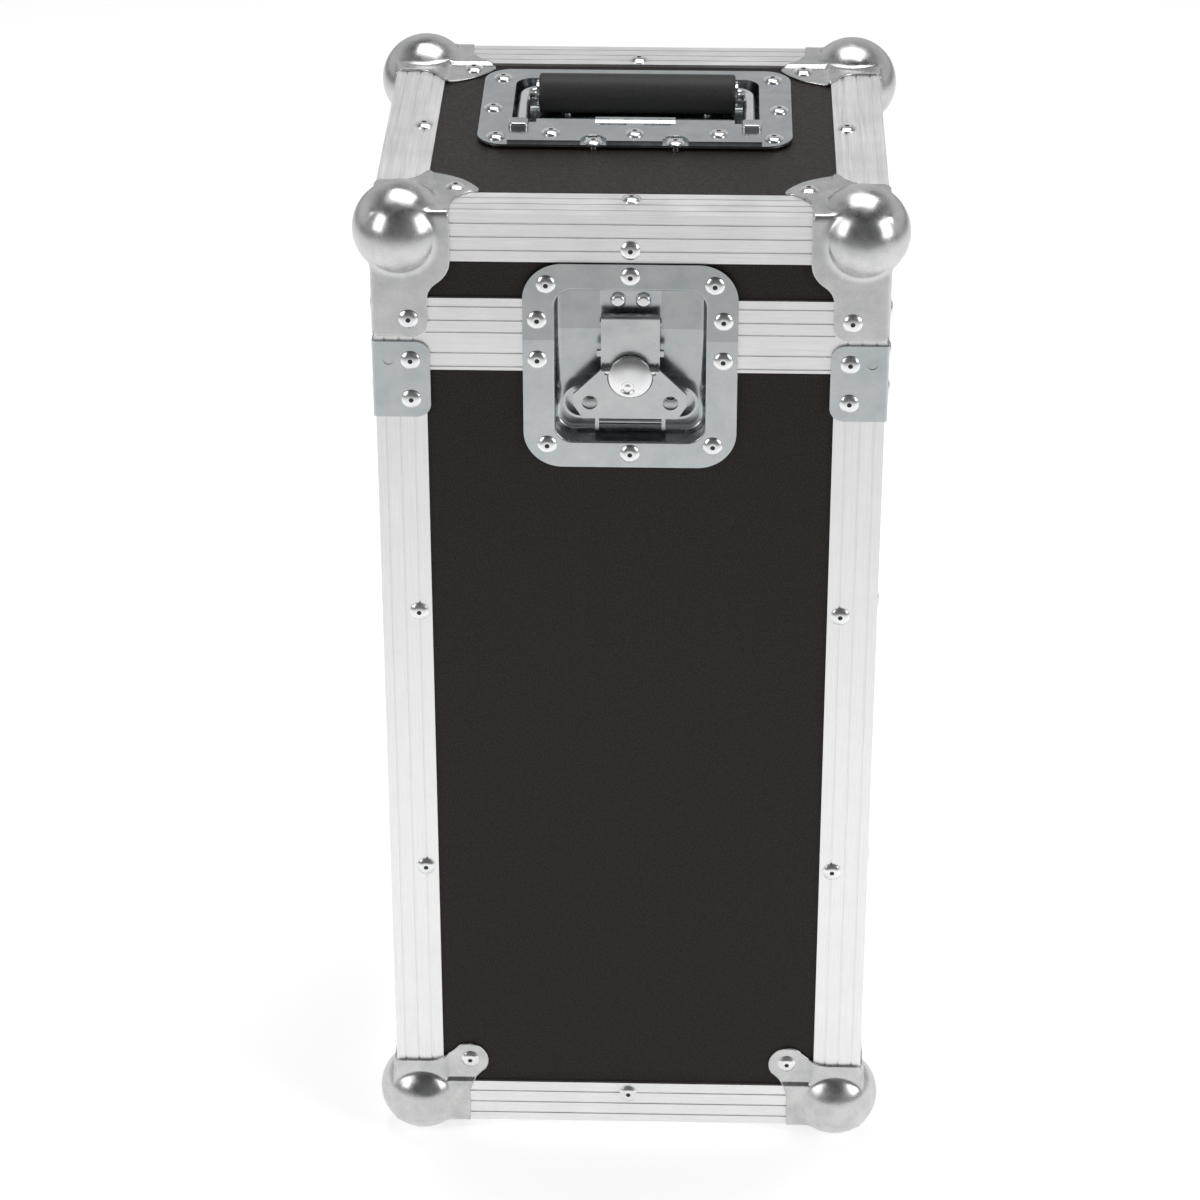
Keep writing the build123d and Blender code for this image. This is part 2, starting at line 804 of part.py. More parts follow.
upper_corner = pressed_corner(
    wing_outline.sketch, cheek_outline.sketch, cheek_outline.sketch, corner_core(core_step_limit)
)


def placed_corner(corner, level, upside_down, rear, right, places, name):
    """Set a pressed corner on its corner of the case and write it."""
    with BuildPart() as placed:
        add(corner.part)
        if upside_down:
            mirror(about=Plane.XY, mode=Mode.REPLACE)
    with BuildPart() as moved:
        with Locations((-x_side, y_front, level)):
            add(placed.part)
        if rear:
            mirror(about=Plane.XZ, mode=Mode.REPLACE)
        if right:
            mirror(about=Plane.YZ, mode=Mode.REPLACE)
        drill(places)
    keep(moved, name)


for rear in (False, True):
    for right in (False, True):
        place_name = ("rear" if rear else "front") + ("_right" if right else "_left")
        placed_corner(
            lower_corner,
            z_bottom,
            False,
            rear,
            right,
            base_rivets_at,
            "base_corner_" + place_name,
        )
        placed_corner(upper_corner, z_top, True, rear, right, lid_rivets_at, "lid_corner_" + place_name)

# Corner braces under the parting line, each bent round one upright edge
brace_high = z_split - brace_gap
brace_low = brace_high - brace_height
with BuildPart() as base_corner_braces:
    block((-x_side - sheet, -x_side + brace_width), (y_front - sheet, y_front), (brace_low, brace_high))
    block((-x_side - sheet, -x_side), (y_front - sheet, y_front + brace_width), (brace_low, brace_high))
    uprights = base_corner_braces.edges().filter_by(Axis.Z)
    fillet(uprights.sort_by(lambda edge: edge.center().X + edge.center().Y)[0], corner_bend)
    brace_ends = [
        edge
        for edge in base_corner_braces.edges()
        if abs(edge.length - sheet) < near
        and max(edge.center().X + x_side, edge.center().Y - y_front) > brace_width - near
    ]
    fillet(brace_ends, brace_corner)
    for side_plane in (
        on_side("front", -x_side + brace_dimple_inset, z_split - brace_rivet_drops[0], sheet),
        on_side("left", y_front + brace_dimple_inset, z_split - brace_rivet_drops[0], sheet),
    ):
        with Locations(side_plane):
            Cylinder(brace_dimple_radius, 2 * brace_dimple_depth, mode=Mode.SUBTRACT)
    mirror(about=Plane.XZ)
    mirror(about=Plane.YZ)
    drill(base_rivets_at)
keep(base_corner_braces, "base_corner_braces")

# Latch dish, pressed in one shape and cut in two at the parting line
recess_middle = z_split + (latch_recess_above - latch_recess_below) / 2
flange_middle = z_split + (latch_flange_above - latch_flange_below) / 2
recess_height = latch_recess_above + latch_recess_below
flange_height = latch_flange_above + latch_flange_below
recess_floor = dish_face + latch_recess_depth
with BuildPart() as recess_space:
    with BuildSketch(front_plane(dish_face, z=recess_middle)):
        RectangleRounded(latch_recess_width, recess_height, latch_recess_corner)
    extrude(amount=-latch_recess_depth)
    fillet(recess_space.faces().sort_by(Axis.Y)[-1].edges(), recess_floor_bend)

with BuildPart() as latch_dish:
    with BuildSketch(front_plane(y_front, z=flange_middle)):
        RectangleRounded(latch_flange_width, flange_height, latch_flange_corner)
    extrude(amount=sheet)
    with BuildSketch(front_plane(y_front, z=recess_middle)):
        outer_width = latch_recess_width + 2 * dish_wall
        outer_height = recess_height + 2 * dish_wall
        RectangleRounded(outer_width, outer_height, latch_recess_corner + dish_wall)
    extrude(amount=-(latch_recess_depth - sheet + dish_wall))
    outer_floor = latch_dish.faces().sort_by(Axis.Y)[-1]
    fillet(outer_floor.edges(), recess_floor_bend + dish_wall)
    add(recess_space.part, mode=Mode.SUBTRACT)
    mouth_edges = [
        edge
        for edge in latch_dish.edges()
        if abs(edge.center().Y - dish_face) < near
        and abs(edge.center().X) < latch_recess_width / 2 + near
        and abs(edge.center().Z - recess_middle) < recess_height / 2 + near
    ]
    fillet(mouth_edges, recess_rim_rounding)
    with Locations(front_plane(recess_floor, z=latch_axis)):
        Cylinder(shaft_radius + running_clearance, 4 * dish_wall, mode=Mode.SUBTRACT)
    drill(latch_upper_at + latch_lower_at)
    with Locations(*front_pair(recess_floor, flap_hole_across, latch_axis - flap_hole_drop)):
        Cylinder(screw_shank_radius + running_clearance, 4 * dish_wall, mode=Mode.SUBTRACT)
    with Locations(*front_pair(recess_floor, strike_rivet_across, z_split + strike_rivet_rise)):
        Cylinder(screw_shank_radius + running_clearance, 4 * dish_wall, mode=Mode.SUBTRACT)

with BuildPart() as latch_lower_dish:
    add(latch_dish.part)
    split(bisect_by=Plane.XY.offset(z_split), keep=Keep.BOTTOM)
keep(latch_lower_dish, "latch_lower_dish")
with BuildPart() as latch_upper_dish:
    add(latch_dish.part)
    split(bisect_by=Plane.XY.offset(z_split), keep=Keep.TOP)
keep(latch_upper_dish, "latch_upper_dish")


def latch_plane(depth, x=0.0, rise=0.0):
    """A front-facing plane at a depth below the dish flange, placed from the latch axis."""
    return front_plane(dish_face + depth, x, latch_axis + rise)


def latch_depth(first, last):
    """Two depths below the dish flange as places along Y."""
    return (dish_face + first, dish_face + last)


# Latch disc, with its ears for the flap, its throw pin and its axle in one turned piece
throw_pin_depth = hook_front + hook_thickness + slide_clearance
collar_front = latch_recess_depth + dish_wall + running_clearance
hinge_y = dish_face + flap_hinge_depth
hinge_z = latch_axis + flap_hinge_rise
with BuildPart() as latch_hub:
    with Locations(latch_plane(disc_front)):
        Cylinder(disc_radius, disc_thickness, align=(Align.CENTER, Align.CENTER, Align.MAX))
    front_rim = latch_hub.edges().filter_by(GeomType.CIRCLE).sort_by(Axis.Y)[0]
    fillet(front_rim, disc_rounding)
    with Locations(latch_plane(disc_front, -disc_dimple_across, -throw_radius)):
        Cylinder(disc_dimple_radius, 2 * disc_dimple_depth, mode=Mode.SUBTRACT)
    rod((-flap_ear_reach, hinge_y, hinge_z), (flap_ear_reach, hinge_y, hinge_z), flap_knuckle_radius)
    with Locations(latch_plane(disc_front + disc_thickness)):
        Cylinder(
            shaft_radius,
            collar_front - disc_front - disc_thickness,
            align=(Align.CENTER, Align.CENTER, Align.MAX),
        )
    with Locations(latch_plane(disc_front + disc_thickness, 0, -throw_radius)):
        Cylinder(
            throw_pin_radius,
            throw_pin_depth - disc_front - disc_thickness,
            align=(Align.CENTER, Align.CENTER, Align.MAX),
        )
    with Locations(latch_plane(collar_front)):
        Cylinder(collar_radius, collar_thickness, align=(Align.CENTER, Align.CENTER, Align.MAX))
    rod(
        (-disc_radius * 2, hinge_y, hinge_z),
        (disc_radius * 2, hinge_y, hinge_z),
        flap_pin_radius + running_clearance,
        Mode.SUBTRACT,
    )
keep(latch_hub, "latch_hub")

with BuildPart() as flap_pin:
    rod((-flap_top_half, hinge_y, hinge_z), (flap_top_half, hinge_y, hinge_z), flap_pin_radius)
keep(flap_pin, "flap_pin")

# Folding flap that turns the disc
flap_top = flap_hinge_rise + flap_crown
with BuildPart() as latch_flap:
    with BuildSketch(latch_plane(flap_front)):
        with BuildLine():
            Polyline(
                (-flap_top_half, flap_top),
                (flap_top_half, flap_top),
                (flap_wing_half, -flap_wing_drop),
                (flap_wing_half, -flap_wing_end),
                (flap_foot_half, -flap_foot_drop),
                (-flap_foot_half, -flap_foot_drop),
                (-flap_wing_half, -flap_wing_end),
                (-flap_wing_half, -flap_wing_drop),
                close=True,
            )
        make_face()
        Circle(disc_radius + flap_notch_gap, mode=Mode.SUBTRACT)
        notch_half = flap_ear_reach + slide_clearance
        patch(
            (-notch_half, notch_half),
            (flap_hinge_rise - flap_knuckle_radius - slide_clearance, flap_top + 1),
            mode=Mode.SUBTRACT,
        )
        with Locations((-flap_hole_across, -flap_hole_drop), (flap_hole_across, -flap_hole_drop)):
            Circle(flap_hole_radius, mode=Mode.SUBTRACT)
    extrude(amount=-flap_thickness)
    for sign in (-1, 1):
        inner = (sign * (flap_ear_reach + slide_clearance), hinge_y, hinge_z)
        outer = (sign * flap_top_half, hinge_y, hinge_z)
        rod(inner, outer, flap_knuckle_radius)
        rod(inner, outer, flap_pin_radius, Mode.SUBTRACT)
keep(latch_flap, "latch_flap")

# Hook plate behind the disc, with a slot for the throw pin across a slot for the axle
pin_slot_half = throw_pin_radius + hook_play
axle_slot_half = shaft_radius + slide_clearance
with BuildPart() as latch_hook:
    block(
        (-hook_half, hook_half),
        latch_depth(hook_front, hook_front + hook_thickness),
        (latch_axis - hook_foot_drop, latch_axis + hook_rise),
    )
    block(
        (-hook_half, hook_half),
        latch_depth(hook_front, hook_front + hook_thickness + hook_lip),
        (latch_axis + hook_rise - hook_lip_height, latch_axis + hook_rise),
    )
    top_bend = latch_hook.edges().filter_by(Axis.X).group_by(Axis.Z)[-1].sort_by(Axis.Y)[0]
    fillet(top_bend, hook_bend)
    block(
        (-hook_half - hook_ear, hook_half + hook_ear),
        latch_depth(hook_front, hook_front + hook_thickness),
        (latch_axis + hook_ear_rise - hook_ear_height / 2, latch_axis + hook_ear_rise + hook_ear_height / 2),
    )
    block(
        (-throw_pin_radius - slide_clearance, throw_radius + throw_pin_radius + slide_clearance),
        latch_depth(hook_front - 1, hook_front + hook_thickness + 1),
        (latch_axis - throw_radius - pin_slot_half, latch_axis - throw_radius + pin_slot_half),
        mode=Mode.SUBTRACT,
    )
    block(
        (-axle_slot_half, axle_slot_half),
        latch_depth(hook_front - 1, hook_front + hook_thickness + 1),
        (latch_axis - 2 * throw_radius - axle_slot_half, latch_axis + axle_slot_half),
        mode=Mode.SUBTRACT,
    )
keep(latch_hook, "latch_hook")

# Cradle: a racetrack pan on the dish floor with two lugs and a rolled bar
pan_height = cradle_foot_drop - cradle_top_drop
pan_middle = -(cradle_foot_drop + cradle_top_drop) / 2
roll_z = latch_axis - cradle_foot_drop - slide_clearance - roll_radius
with BuildPart() as latch_cradle:
    with BuildSketch(latch_plane(latch_recess_depth, 0, pan_middle)):
        SlotOverall(2 * cradle_half, pan_height)
    extrude(amount=latch_recess_depth - cradle_front)
    with BuildSketch(latch_plane(cradle_front, 0, pan_middle)):
        SlotOverall(2 * (cradle_half - cradle_wall), pan_height - 2 * cradle_wall)
    extrude(amount=-(latch_recess_depth - cradle_front - cradle_wall), mode=Mode.SUBTRACT)
    for sign in (-1, 1):
        block(
            (sign * lug_place - lug_width / 2, sign * lug_place + lug_width / 2),
            latch_depth(cradle_front, cradle_front + lug_depth),
            (latch_axis - lug_foot_drop, latch_axis - cradle_foot_drop + cradle_wall),
        )
    roll_y = dish_face + cradle_front + roll_radius
    rod((-lug_place, roll_y, roll_z), (lug_place, roll_y, roll_z), roll_radius)
    with Locations(*front_pair(recess_floor, flap_hole_across, latch_axis - flap_hole_drop)):
        Cylinder(screw_shank_radius + running_clearance, 4 * cradle_wall, mode=Mode.SUBTRACT)
    axle_gap = collar_radius + slide_clearance
    with Locations(latch_plane(latch_recess_depth)):
        Cylinder(axle_gap, 4 * latch_recess_depth, mode=Mode.SUBTRACT)
keep(latch_cradle, "latch_cradle")

screw_seat = latch_recess_depth - cradle_wall
with BuildPart() as cradle_screw:
    Cylinder(screw_head_radius, screw_head_height, align=(Align.CENTER, Align.CENTER, Align.MIN))
    fillet(cradle_screw.edges().group_by(Axis.Z)[-1], screw_head_rounding)
    Cylinder(screw_shank_radius, cradle_wall + dish_wall, align=(Align.CENTER, Align.CENTER, Align.MAX))
    with Locations((0, 0, screw_head_height)):
        Box(3 * screw_head_radius, screw_slot_width, 2 * screw_slot_depth, mode=Mode.SUBTRACT)
with BuildPart() as cradle_screws:
    with Locations(*front_pair(dish_face + screw_seat, flap_hole_across, latch_axis - flap_hole_drop)):
        add(cradle_screw.part)
keep(cradle_screws, "cradle_screws")

# Strike plate and its rivets
strike_back = latch_recess_depth
strike_seat = strike_back - strike_thickness
with BuildPart() as latch_strike:
    block(
        (-strike_half, strike_half),
        latch_depth(strike_seat, strike_back),
        (z_split + strike_low, z_split + strike_high),
    )
    block(
        (-strike_half, strike_half),
        latch_depth(strike_lip_front, strike_back),
        (z_split + strike_low, z_split + strike_low + strike_lip_height),
    )
    with Locations(*front_pair(recess_floor, strike_rivet_across, z_split + strike_rivet_rise)):
        Cylinder(screw_shank_radius + running_clearance, 4 * strike_thickness, mode=Mode.SUBTRACT)
keep(latch_strike, "latch_strike")

with BuildPart() as strike_rivet:
    Cylinder(strike_rivet_radius, strike_rivet_height, align=(Align.CENTER, Align.CENTER, Align.MIN))
    fillet(strike_rivet.edges().group_by(Axis.Z)[-1], strike_rivet_dome)
    Cylinder(screw_shank_radius, strike_thickness + dish_wall, align=(Align.CENTER, Align.CENTER, Align.MAX))
with BuildPart() as strike_rivets:
    with Locations(*front_pair(dish_face + strike_seat, strike_rivet_across, z_split + strike_rivet_rise)):
        add(strike_rivet.part)
keep(strike_rivets, "strike_rivets")

# Handle dish on the lid
handle_face = z_top + sheet
flange_y = (handle_flange_front + handle_flange_rear) / 2
recess_y = (handle_recess_front + handle_recess_rear) / 2
recess_run = handle_recess_rear - handle_recess_front
handle_floor = handle_face - handle_recess_depth
bail_height = handle_face - bail_drop
knuckle_radius = bail_radius + running_clearance + knuckle_wall
with BuildPart() as handle_space:
    with BuildSketch(Plane((0, recess_y, handle_face))):
        RectangleRounded(handle_recess_width, recess_run, handle_recess_corner)
    extrude(amount=-handle_recess_depth)
    fillet(handle_space.faces().sort_by(Axis.Z)[0].edges(), recess_floor_bend)

with BuildPart() as handle_dish:
    with BuildSketch(Plane((0, flange_y, z_top))):
        RectangleRounded(handle_flange_width, handle_flange_rear - handle_flange_front, handle_flange_corner)
    extrude(amount=sheet)
    with BuildSketch(Plane((0, recess_y, z_top))):
        RectangleRounded(
            handle_recess_width + 2 * dish_wall,
            recess_run + 2 * dish_wall,
            handle_recess_corner + dish_wall,
        )
    extrude(amount=-(handle_recess_depth - sheet + dish_wall))
    fillet(handle_dish.faces().sort_by(Axis.Z)[0].edges(), recess_floor_bend + dish_wall)
    add(handle_space.part, mode=Mode.SUBTRACT)
    with BuildSketch(Plane.XY.offset(handle_floor - dish_wall / 2)):
        with BuildLine():
            Polyline(
                (-handle_pad_half, handle_pad_front),
                (0, handle_pad_front + handle_pad_peak),
                (handle_pad_half, handle_pad_front),
                (handle_pad_half, handle_recess_rear),
                (-handle_pad_half, handle_recess_rear),
                close=True,
            )
        make_face()
    extrude(amount=dish_wall / 2 + handle_pad_height)
    for sign in (-1, 1):
        with Locations((sign * pad_rivet_across, pad_rivet_place, handle_floor + handle_pad_height)):
            Cylinder(pad_rivet_radius, pad_rivet_height, align=(Align.CENTER, Align.CENTER, Align.MIN))
    drill(handle_rivets_at + bracket_rivets_at)
keep(handle_dish, "handle_dish")

# Bail of round bar, its ends turned inwards into the bracket's knuckles
with BuildPart() as handle_bail:
    with BuildLine() as bail_path:
        FilletPolyline(
            (-bail_end_gap, bail_pivot, bail_height),
            (-bail_half, bail_pivot, bail_height),
            (-bail_half, bail_pivot + bail_reach, bail_height),
            (bail_half, bail_pivot + bail_reach, bail_height),
            (bail_half, bail_pivot, bail_height),
            (bail_end_gap, bail_pivot, bail_height),
            radius=[bail_pivot_bend, bail_bend, bail_bend, bail_pivot_bend],
        )
    with BuildSketch(Plane(origin=bail_path.line @ 0, z_dir=bail_path.line % 0)):
        Circle(bail_radius)
    sweep()
keep(handle_bail, "handle_bail")

grip_y = bail_pivot + bail_reach
# The grip ends where the bends of the bail begin
grip_end = min(grip_half, bail_half - bail_bend)
with BuildPart() as handle_grip:
    rod((-grip_end, grip_y, bail_height), (grip_end, grip_y, bail_height), grip_radius)
    fillet(handle_grip.edges().filter_by(GeomType.CIRCLE), grip_rounding)
    rod(
        (-grip_end, grip_y, bail_height),
        (grip_end, grip_y, bail_height),
        bail_radius + running_clearance,
        Mode.SUBTRACT,
    )
keep(handle_grip, "handle_grip")

# Raised cover over the return springs
spring_radius = bail_radius + spring_gap + spring_wire_radius
spring_room = spring_radius + spring_wire_radius + spring_clearance
with BuildPart() as spring_cover:
    cover_radius = spring_room + spring_cover_wall
    rod(
        (-spring_cover_half, bail_pivot, bail_height),
        (spring_cover_half, bail_pivot, bail_height),
        cover_radius,
    )
    block(
        (-bail_half, bail_half),
        (bail_pivot - 2 * cover_radius, bail_pivot + 2 * cover_radius),
        (bail_height - 2 * cover_radius, handle_face),
        mode=Mode.SUBTRACT,
    )

# Bracket plate that holds the bail down on the dish flange
with BuildPart() as handle_bracket:
    with BuildSketch(Plane.XY.offset(handle_face)):
        with BuildLine():
            Polyline(
                (-bracket_half, bracket_front),
                (bracket_half, bracket_front),
                (bracket_half, bail_pivot - bail_radius - stop_clearance),
                (bracket_step_half, bail_pivot - bail_radius - stop_clearance),
                (bracket_step_half, bracket_rear),
                (-bracket_step_half, bracket_rear),
                (-bracket_step_half, bail_pivot - bail_radius - stop_clearance),
                (-bracket_half, bail_pivot - bail_radius - stop_clearance),
                close=True,
            )
        make_face()
        notch_y = bracket_front + bracket_notch_inset
        with Locations((-bracket_notch_across, notch_y), (bracket_notch_across, notch_y)):
            Circle(bracket_notch_radius, mode=Mode.SUBTRACT)
        with Locations(*[(x, bail_pivot - spring_room) for x in bracket_slot_places]):
            SlotOverall(bracket_slot_length, bracket_slot_width, mode=Mode.SUBTRACT)
    extrude(amount=bracket_thickness)
    for sign in (-1, 1):
        for low, high in (knuckle_middle_span, knuckle_side_span):
            rod(
                (sign * low, bail_pivot, bail_height),
                (sign * high, bail_pivot, bail_height),
                knuckle_radius,
            )
    add(spring_cover.part)
    stop_rear = bail_pivot - bail_radius - stop_clearance
    for sign in (-1, 1):
        ends = sorted((sign * stop_inner, sign * bracket_half))
        with BuildPart(mode=Mode.PRIVATE) as stop:
            block(
                ends,
                (stop_rear - stop_length, stop_rear),
                (handle_face, handle_face + bracket_thickness + stop_height),
            )
            fillet(stop.edges().filter_by(Axis.Z), stop_rounding)
            fillet(stop.edges().group_by(Axis.Z)[-1], stop_top_rounding)
        add(stop.part)
    rod(
        (-bail_half, bail_pivot, bail_height),
        (bail_half, bail_pivot, bail_height),
        bail_radius + running_clearance,
        Mode.SUBTRACT,
    )
    spring_room_half = spring_cover_half - spring_cover_wall
    rod(
        (-spring_room_half, bail_pivot, bail_height),
        (spring_room_half, bail_pivot, bail_height),
        spring_room,
        Mode.SUBTRACT,
    )
    drill(bracket_rivets_at)
keep(handle_bracket, "handle_bracket")

# Grip washers against both ends of the grip
with BuildPart() as handle_washers:
    for sign in (-1, 1):
        inner = (sign * grip_end, grip_y, bail_height)
        outer = (sign * (grip_end + washer_thickness), grip_y, bail_height)
        rod(inner, outer, washer_radius)
        rod(inner, outer, bail_radius + washer_play, Mode.SUBTRACT)
keep(handle_washers, "handle_washers")

# Return springs round the bail's turned-in ends
with BuildPart() as handle_springs:
    spring_start = (spring_start_gap, bail_pivot, bail_height)
    with BuildLine() as coil:
        Helix(
            spring_pitch,
            spring_pitch * spring_turns,
            spring_radius,
            center=spring_start,
            direction=(1, 0, 0),
        )
    with BuildSketch(Plane(origin=coil.line @ 0, z_dir=coil.line % 0)):
        Circle(spring_wire_radius)
    sweep(path=coil.line, is_frenet=True)
    mirror(about=Plane.YZ)
keep(handle_springs, "handle_springs")

# Foam lining of the base
lining_x = x_side - lining_out
lining_y = y_rear - lining_out
inner_x = x_side - lining_in
inner_y = y_rear - lining_in
floor_foam_low = z_bottom + lining_out
floor_foam_high = z_bottom + lining_in
with BuildPart() as base_floor_foam:
    pad_x = inner_x - foam_clearance
    pad_y = inner_y - foam_clearance
    block((-pad_x, pad_x), (-pad_y, pad_y), (floor_foam_low, floor_foam_high))
keep(base_floor_foam, "base_floor_foam")

wall_foam_z = (floor_foam_low, z_split - foam_clearance)
strip_reach = inner_x - foam_clearance
front_pad_y = (-lining_y, -inner_y)
with BuildPart() as base_wall_foam:
    block((-lining_x, -inner_x), (-lining_y, lining_y), wall_foam_z)
    block((inner_x, lining_x), (-lining_y, lining_y), wall_foam_z)
    block((-strip_reach, strip_reach), (inner_y, lining_y), wall_foam_z)
    block((-strip_reach, strip_reach), front_pad_y, (wall_foam_z[0], latch_cut_low - foam_clearance))
    for beside_latch in ((-strip_reach, -latch_cut_half), (latch_cut_half, strip_reach)):
        block(beside_latch, front_pad_y, (latch_cut_low, wall_foam_z[1]))
keep(base_wall_foam, "base_wall_foam")

# Foam lining of the lid
lid_foam_high = z_top - lining_out
lid_foam_low = z_top - lining_in
lid_wall_z = (z_split + foam_clearance, lid_foam_low)
with BuildPart() as lid_wall_foam:
    block((-lining_x, -inner_x), (-lining_y, lining_y), lid_wall_z)
    block((inner_x, lining_x), (-lining_y, lining_y), lid_wall_z)
    block((-strip_reach, strip_reach), (inner_y, lining_y), lid_wall_z)
    block((-strip_reach, strip_reach), front_pad_y, (latch_cut_high + foam_clearance, lid_wall_z[1]))
    for beside_latch in ((-strip_reach, -latch_cut_half), (latch_cut_half, strip_reach)):
        block(beside_latch, front_pad_y, (lid_wall_z[0], latch_cut_high))
keep(lid_wall_foam, "lid_wall_foam")
with BuildPart() as lid_top_foam:
    block((-lining_x, lining_x), (-lining_y, lining_y), (lid_foam_low, lid_foam_high))
    cut_for_handle(handle_pocket_back)
keep(lid_top_foam, "lid_top_foam")

# Rear hinges: one leaf on each closure profile, knuckles in turn along a shared pin
hinge_y_place = y_rear + hinge_standoff
knuckle_length = hinge_width / 3


def hinge_leaves(direction, leaf_reach, knuckle_spans):
    """The leaves of both hinges on one side of the parting line; direction is -1 below and 1 above."""
    with BuildPart() as leaves:
        for centre in (-hinge_place, hinge_place):
            span = (centre - hinge_width / 2, centre + hinge_width / 2)
            low, high = sorted((z_split + direction * hinge_leaf_gap, z_split + direction * leaf_reach))
            block(span, (y_rear, y_rear + hinge_leaf_thickness), (low, high))
            for start, end in knuckle_spans:
                low, high = sorted((z_split, z_split + direction * hinge_leaf_gap))
                block(
                    (centre + start, centre + end),
                    (y_rear + hinge_knuckle_clearance, hinge_y_place),
                    (low, high),
                )
                rod(
                    (centre + start, hinge_y_place, z_split),
                    (centre + end, hinge_y_place, z_split),
                    hinge_knuckle_radius,
                )
            rod(
                (centre - hinge_width, hinge_y_place, z_split),
                (centre + hinge_width, hinge_y_place, z_split),
                hinge_pin_radius + running_clearance,
                Mode.SUBTRACT,
            )
    return leaves


side_knuckles = (
    (-hinge_width / 2, -knuckle_length / 2 - hinge_knuckle_clearance),
    (knuckle_length / 2 + hinge_knuckle_clearance, hinge_width / 2),
)
middle_knuckle = ((-knuckle_length / 2, knuckle_length / 2),)
hinge_base_leaves = hinge_leaves(-1, hinge_lower_leaf, side_knuckles)
with BuildPart() as hinge_base:
    add(hinge_base_leaves.part)
    drill(hinge_rivets_low_at)
keep(hinge_base, "hinge_base_leaves")
hinge_lid_leaves = hinge_leaves(1, hinge_upper_leaf, middle_knuckle)
with BuildPart() as hinge_lid:
    add(hinge_lid_leaves.part)
    drill(hinge_rivets_high_at)
keep(hinge_lid, "hinge_lid_leaves")
with BuildPart() as hinge_pins:
    for centre in (-hinge_place, hinge_place):
        rod(
            (centre - hinge_width / 2 - hinge_pin_overhang, hinge_y_place, z_split),
            (centre + hinge_width / 2 + hinge_pin_overhang, hinge_y_place, z_split),
            hinge_pin_radius,
        )
keep(hinge_pins, "hinge_pins")

# Rivets, grouped by what they hold
rivets(base_rivets_at + hinge_rivets_low_at, "base_rivets")
rivets(latch_lower_at, "latch_lower_rivets")
rivets(lid_rivets_at + hinge_rivets_high_at, "lid_rivets")
rivets(latch_upper_at, "latch_upper_rivets")
rivets(handle_rivets_at + bracket_rivets_at, "handle_rivets")
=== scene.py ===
# %% [markdown]
# # A small flight case in Blender
#
# The imported CAD model is the frame of this scene. It brings every panel, profile, dish, latch
# part and rivet at its right place, so this lesson only adds what the solids lack: the flowing
# pressed ball corners, painted shade in the rivets' bores, a dome on the latch's disc, soft foam,
# and a finish for each material. Everything is in metres, but for the outlines of the corners and
# the foam, which are worked out in millimetres and divided by a thousand.

import bmesh
import bpy
import numpy as np
from mathutils import Matrix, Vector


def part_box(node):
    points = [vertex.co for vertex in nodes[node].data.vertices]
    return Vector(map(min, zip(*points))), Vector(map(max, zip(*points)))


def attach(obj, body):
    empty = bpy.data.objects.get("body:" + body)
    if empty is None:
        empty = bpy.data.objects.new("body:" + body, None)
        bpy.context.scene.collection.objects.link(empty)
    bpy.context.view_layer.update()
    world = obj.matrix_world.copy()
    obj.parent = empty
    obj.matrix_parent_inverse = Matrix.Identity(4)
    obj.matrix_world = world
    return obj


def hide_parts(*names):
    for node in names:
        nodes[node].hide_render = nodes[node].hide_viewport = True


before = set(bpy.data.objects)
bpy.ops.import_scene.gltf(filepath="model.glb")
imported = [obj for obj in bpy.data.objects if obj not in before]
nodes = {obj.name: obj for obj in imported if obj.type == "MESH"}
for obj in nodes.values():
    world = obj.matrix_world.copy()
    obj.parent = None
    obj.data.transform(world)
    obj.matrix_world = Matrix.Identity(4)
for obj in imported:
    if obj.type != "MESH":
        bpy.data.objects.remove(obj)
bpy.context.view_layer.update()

# %% [markdown]
# ## The camera
#
# The case was photographed from the front and from well above. The pose was fitted to the case's
# corners in the photo, which gives the camera's place, its three turns and its long lens. A
# matrix is used rather than Euler angles, because the fit was made in the order roll, pitch, yaw,
# and a matrix keeps that order plain.

# %% Set up the camera
camera_place = (0.03570, -1.8248, 1.28420)
camera_yaw = -0.0294300
camera_pitch = 0.506822
camera_roll = -0.0015742
camera_lens = 117.6
camera_film_width = 36


def turn(angle, axis):
    """A rotation matrix about the x or z axis: cosines on the diagonal, sines off it."""
    c, s = np.cos(angle), np.sin(angle)
    if axis == "x":
        return np.array([[1, 0, 0], [0, c, -s], [0, s, c]])
    return np.array([[c, -s, 0], [s, c, 0], [0, 0, 1]])


facing_front = np.array([[1, 0, 0], [0, 0, -1], [0, 1, 0]])
to_camera = turn(camera_roll, "z") @ turn(camera_pitch, "x") @ facing_front @ turn(camera_yaw, "z")
to_world = (np.diag([1, -1, -1]) @ to_camera).T
camera_data = bpy.data.cameras.new("camera")
camera_data.sensor_width = camera_film_width
camera_data.lens = camera_lens
camera = bpy.data.objects.new("camera", camera_data)
camera.matrix_world = Matrix.Translation(camera_place) @ Matrix(to_world.tolist()).to_4x4()
bpy.context.scene.collection.objects.link(camera)
bpy.context.scene.camera = camera
print("camera at", camera_place)

# %% [markdown]
# ## Surfaces from arrays
#
# Each new piece is a grid of points worked out with numpy. One helper joins such grids into a
# mesh: it numbers the points row by row, makes the faces from four neighbours, and turns a grid
# round when its faces look at the piece's own middle. Points that two grids share are welded.

# %% Join grids into a piece
weld_distance = 2e-5


def grid_faces(rows, columns):
    """The four neighbours of every cell of a grid, counted row by row."""
    first = (np.arange(rows - 1)[:, None] * columns + np.arange(columns - 1)).ravel()
    return np.stack([first, first + 1, first + columns + 1, first + columns], axis=1)


